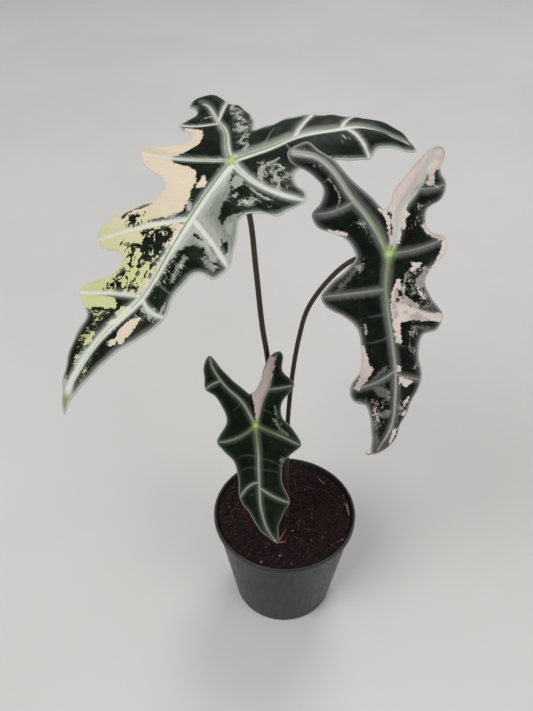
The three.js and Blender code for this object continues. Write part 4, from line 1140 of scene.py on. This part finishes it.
def make_pot():
    """A thin moulded pot with a rolled rim, a stacking step and drain holes, standing on a ring."""
    height, wall, lip, lift, floor = (POT[key] for key in ("height", "wall", "lip", "floor_lift", "floor"))
    top, base, pad, ring = (POT[f"{key}_radius"] for key in ("top", "base", "pad", "ring"))
    step = height - POT["lip_height"]
    foot = ring + lift * 0.7
    roll = (lip + wall * 0.6) / 2
    outline = [(0, 0), (pad - 0.6, 0), (pad + 0.2, 0.3), (pad + lift - 0.3, lift - 0.2),
               (pad + lift + 0.4, lift), (ring - 0.5, lift), (ring + 0.2, lift - 0.3), (foot - 0.2, 0.4),
               (foot + 0.5, 0), (base - 1.2, 0), (base - 0.4, 0.25), (inner_radius(1.6) + wall, 1.6)]
    outline += [(inner_radius(z) + wall, z) for z in np.linspace(6, step - 0.8, 12)]
    outline += [(inner_radius(step) + wall + 0.1, step - 0.15), (top + lip * 0.55, step),
                (top + lip * 0.9, step + 0.3), (top + lip, step + 1), (top + lip, height - 2.2)]
    outline += [(top - wall * 0.6 + roll + roll * math.cos(a), height - 0.95 + 0.95 * math.sin(a))
                for a in np.linspace(0, math.pi, 9)]
    outline += [(inner_radius(z), z) for z in np.linspace(height - 2, lift + floor + 1, 14)]
    outline += [(inner_radius(lift + floor) - 0.7, lift + floor), (pad + lift, lift + floor),
                (pad, floor + 0.6), (pad - 1.5, floor), (0, floor)]
    rings = outline[1:-1]
    angles = np.linspace(0, 2 * np.pi, POT_SIDES, endpoint=False)
    points = [(r * math.cos(a), r * math.sin(a), z) for r, z in rings for a in angles]
    points += [(0, 0, outline[0][1]), (0, 0, outline[-1][1])]
    faces = ring_faces(len(rings), POT_SIDES)
    pot = make_piece("nursery_pot", points, faces, pot_material(), "pot", ["pot"])

    # The drain holes are cut and their cutter is removed
    circle = (pad + lift + ring) / 2 * MM
    hole = POT["hole_radius"] * MM
    cutter = bmesh.new()
    for i in range(POT["holes"]):
        angle = 2 * math.pi * (i + 0.5) / POT["holes"]
        made = bmesh.ops.create_cone(cutter, cap_ends=True, segments=24, radius1=hole, radius2=hole,
                                     depth=20 * MM)
        bmesh.ops.translate(cutter, verts=made["verts"],
                            vec=(circle * math.cos(angle), circle * math.sin(angle), 0))
    drill_mesh = bpy.data.meshes.new("drill")
    cutter.to_mesh(drill_mesh)
    cutter.free()
    drill = add_object("drill", drill_mesh)
    cut = pot.modifiers.new("holes", "BOOLEAN")
    cut.operation = "DIFFERENCE"
    cut.solver = "EXACT"
    cut.object = drill
    bpy.context.view_layer.update()
    holed = bpy.data.meshes.new_from_object(pot.evaluated_get(bpy.context.evaluated_depsgraph_get()))
    pot.modifiers.clear()
    pot.data = holed
    bpy.data.objects.remove(drill)


# Soil

def soil_height(x, y):
    """The frame's lumpy surface, with finer crumbs on it."""
    share = np.hypot(x, y) / POT["top_radius"]
    lumps = np.sin(x * 0.31 + 1.3) * np.cos(y * 0.27) + 0.6 * np.sin(x * 0.71 - y * 0.53)
    crumbs = np.sin(x * 1.9 + 2 * np.sin(y * 0.7)) * np.sin(y * 2.1 + 1.7 * np.sin(x * 0.9))
    return SOIL["top"] + SOIL["crown"] * (1 - share ** 2) + 0.7 * lumps + 0.35 * crumbs


def make_soil_body(material):
    """The body of the soil, which fills the pot up to its lumpy top."""
    edge = inner_radius(SOIL["top"]) - SOIL["gap"]
    angles = np.linspace(0, 2 * np.pi, SOIL_SIDES, endpoint=False)
    shares = np.concatenate([np.linspace(0.012, 0.985, SOIL_RINGS), [1.0]])
    x = edge * shares[:, None] * np.cos(angles)
    y = edge * shares[:, None] * np.sin(angles)
    z = soil_height(x, y)
    z[-1] = SOIL["top"] - 1
    low = inner_radius(SOIL["bottom"]) - SOIL["gap"]
    ring = np.stack([low * np.cos(angles), low * np.sin(angles), np.full(SOIL_SIDES, SOIL["bottom"])], -1)
    points = np.vstack([np.stack([x, y, z], -1).reshape(-1, 3), ring,
                        [(0, 0, soil_height(0, 0)), (0, 0, SOIL["bottom"])]])
    faces = [(face[0], *face[:0:-1]) for face in ring_faces(len(shares) + 1, SOIL_SIDES)]
    tone = 0.35 + 0.3 * np.sin(points[:, 0] * 0.8) * np.sin(points[:, 1] * 0.9)
    make_piece("soil_body", points, faces, material, "soil", ["soil"], dict(tone=tone))


def random_turns(random, count):
    """Random rotation matrices."""
    q = random.normal(size=(count, 4))
    w, x, y, z = (q / np.linalg.norm(q, axis=1, keepdims=True)).T
    return np.stack([1 - 2 * (y * y + z * z), 2 * (x * y - z * w), 2 * (x * z + y * w),
                     2 * (x * y + z * w), 1 - 2 * (x * x + z * z), 2 * (y * z - x * w),
                     2 * (x * z - y * w), 2 * (y * z + x * w), 1 - 2 * (x * x + y * y)], -1).reshape(-1, 3, 3)


def grain_shape(detail):
    """Points and faces of a small sphere to be roughened."""
    ball = bmesh.new()
    bmesh.ops.create_icosphere(ball, subdivisions=detail, radius=1)
    points = np.array([v.co[:] for v in ball.verts])
    faces = np.array([[v.index for v in f.verts] for f in ball.faces])
    ball.free()
    return points, faces


def scatter(name, places, sizes, material, random, detail=2, rough=0.3, smooth=False, tilt=1.0):
    """Many roughened grains at the places, in one mesh. A low tilt keeps them flat."""
    shape, faces = grain_shape(detail)
    count = len(places)
    turns = random_turns(random, count) * tilt + np.eye(3) * (1 - tilt)
    grains = shape[None] * (1 + rough * random.uniform(-1, 1, (count, len(shape), 1)))
    grains = np.einsum("nij,nkj->nki", turns, grains * sizes[:, None, :]) + places[:, None, :]
    every = (faces[None] + np.arange(count)[:, None, None] * len(shape)).reshape(-1, 3)
    tone = np.repeat(random.uniform(0, 1, count), len(shape))
    make_piece(name, grains.reshape(-1, 3), every, material, "soil", (), dict(tone=tone), smooth=smooth)


def spots_on_soil(random, count, reach=0.97):
    """Random places on the soil, clear of the stalks, within a share of its radius."""
    edge = (inner_radius(SOIL["top"]) - 1) * reach
    spots = []
    while len(spots) < count:
        radius = edge * math.sqrt(random.uniform())
        angle = random.uniform(0, 2 * math.pi)
        x, y = radius * math.cos(angle), radius * math.sin(angle)
        if min(math.dist((x, y), leaf["stalk"]["base"]) for leaf in LEAVES.values()) > 3.4:
            spots.append((x, y, float(soil_height(x, y))))
    return np.array(spots)


def make_fibre(random):
    """A bent coir fibre that lies on the soil."""
    steps = np.arange(9)
    x, y, _ = spots_on_soil(random, 1, 0.9)[0]
    turn = random.uniform(0, 2 * math.pi)
    curl = random.uniform(-0.12, 0.12)
    length = random.uniform(5, 17)
    headings = turn + curl * steps + 0.1 * random.normal(size=len(steps)).cumsum()
    xs = x + np.cumsum(np.cos(headings)) * length / len(steps)
    ys = y + np.cumsum(np.sin(headings)) * length / len(steps)
    out = np.maximum(np.hypot(xs, ys) / (inner_radius(SOIL["top"]) - 1.2), 1)
    xs, ys = xs / out, ys / out
    rise = random.uniform(0.5, 2.2) * np.sin(np.pi * steps / 8) + 0.7
    line = spline(np.stack([xs, ys, soil_height(xs, ys) + rise], -1), per=3)
    rings = 14
    radii = np.linspace(0.2, 0.1, rings) * random.uniform(0.7, 1.4)
    return tube(at_share(line, np.linspace(0, 1, rings)), radii, 5)


def make_splinter(start, end, radius):
    """A straight splinter of wood that clears the soil and thins out."""
    rings = 9
    spots = np.linspace(start, end, rings)
    lift = soil_height(*spots.T).max() + 0.4 + np.linspace(0, 0.8, rings)
    return tube(np.column_stack([spots, lift]), radius * np.linspace(1, 0.5, rings), 7)


def make_litter():
    """What lies on the soil: crumbs, bark chips, perlite, coir fibres and pale splinters of wood."""
    random = np.random.default_rng(11)
    mix = litter_material("potting_crumbs", (19, 10, 12), (42, 20, 21), (92, 38, 31))
    for name, count, low, high, detail in CRUMBS:
        places = spots_on_soil(random, count)
        size = random.uniform(low, high, count)
        places[:, 2] += size * 0.2
        scatter(name, places, size[:, None] * random.uniform(0.65, 1.35, (count, 3)), mix, random, detail)

    bark = litter_material("bark_chips", (25, 13, 14), (52, 25, 24), (98, 46, 36), grain=0.9)
    places = spots_on_soil(random, CHIPS, 0.93)
    size = random.uniform(1.2, 2.9, CHIPS)
    widths = size * random.uniform(0.4, 0.75, CHIPS)
    depths = size * random.uniform(0.16, 0.3, CHIPS)
    places[:, 2] += 0.5
    scatter("bark_chips", places, np.stack([size, widths, depths], -1), bark, random, rough=0.22, tilt=0.35)

    perlite = plain_material("perlite", (166, 146, 140), (112, 92, 88), 1.1, 0.9)
    places = spots_on_soil(random, GRAINS)
    places[:len(GRAINS_SEEN), :2] = GRAINS_SEEN
    places[:, 2] = soil_height(places[:, 0], places[:, 1]) + 0.5
    size = random.uniform(0.45, 1.0, GRAINS)
    sizes = size[:, None] * random.uniform(0.8, 1.2, (GRAINS, 3))
    scatter("perlite", places, sizes, perlite, random, detail=3, rough=0.12, smooth=True)

    coir = litter_material("coir_fibres", (36, 17, 17), (66, 31, 26), (118, 80, 60), grain=0.6)
    fibres = []
    tones = []
    for _ in range(FIBRES):
        fibres.append(make_fibre(random))
        tones.append(np.full(len(fibres[-1][0]), random.uniform(0, 1)))
    make_piece("coir_fibres", *joined(fibres), coir, "soil", (), dict(tone=np.concatenate(tones)))

    wood = plain_material("pale_wood", (176, 140, 104), (112, 78, 54), 0.8, 0.8)
    make_piece("wood_splinters", *joined([make_splinter(*splinter) for splinter in SPLINTERS]), wood, "soil")


# Stage

def make_stage():
    """A pale floor, a soft key light from the upper left, a fill, and a light behind."""
    bpy.ops.mesh.primitive_plane_add(size=14)
    floor = bpy.context.object
    floor.name = "floor"
    s = Shader("floor_paper", roughness=0.85, specular=0.2)
    tint = s.noise(s.place(), 1.4, detail=5.0)
    s.color(s.mix(s.ease(tint, 0.3, 0.7), (206, 204, 200), (214, 212, 209)))
    s.bump(s.noise(s.place(), 420.0), 0.0002, 0.3)
    floor.data.materials.append(s.material)

    target = np.array([0, -0.03, 0.25])
    for name, place, size, power in LIGHTS:
        light = bpy.data.lights.new(name, "AREA")
        light.size = size
        light.energy = power
        lamp = add_object(name, light)
        lamp.location = place
        aim = target - np.array(place)
        tilt = math.acos(-aim[2] / np.linalg.norm(aim))
        lamp.rotation_euler = (tilt, 0, math.atan2(aim[1], aim[0]) - math.pi / 2)

    world = bpy.data.worlds.new("studio")
    world.use_nodes = True
    world.node_tree.nodes["Background"].inputs["Color"].default_value = linear((225, 228, 232))
    world.node_tree.nodes["Background"].inputs["Strength"].default_value = 0.42
    bpy.context.scene.world = world


def make_camera():
    """A camera where the photograph was taken from."""
    camera = bpy.data.cameras.new("camera")
    camera.sensor_width = CAMERA["sensor"]
    camera.lens = CAMERA["sensor"] * CAMERA["image_distance"] / CAMERA["image_height"]
    viewer = add_object("camera", camera)
    viewer.location = CAMERA["place"]
    viewer.rotation_euler = (math.radians(90 - CAMERA["pitch"]), 0, 0)
    bpy.context.scene.camera = viewer


bpy.context.scene.view_settings.view_transform = "Standard"
make_camera()
make_stage()

stalk_skin = stalk_material()
for leaf_name, leaf_table in LEAVES.items():
    make_blade(leaf_name, leaf_table)
    make_stalk(leaf_name, leaf_table, stalk_skin)
make_dry_tips()
make_pot()
make_soil_body(litter_material("soil_mix", (16, 9, 11), (37, 18, 19), (70, 33, 29)))
make_litter()

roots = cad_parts["corm_and_roots"]
roots.data.materials.clear()
roots.data.materials.append(plain_material("root_skin", (190, 168, 128), (128, 96, 64), 0.5, 0.75))
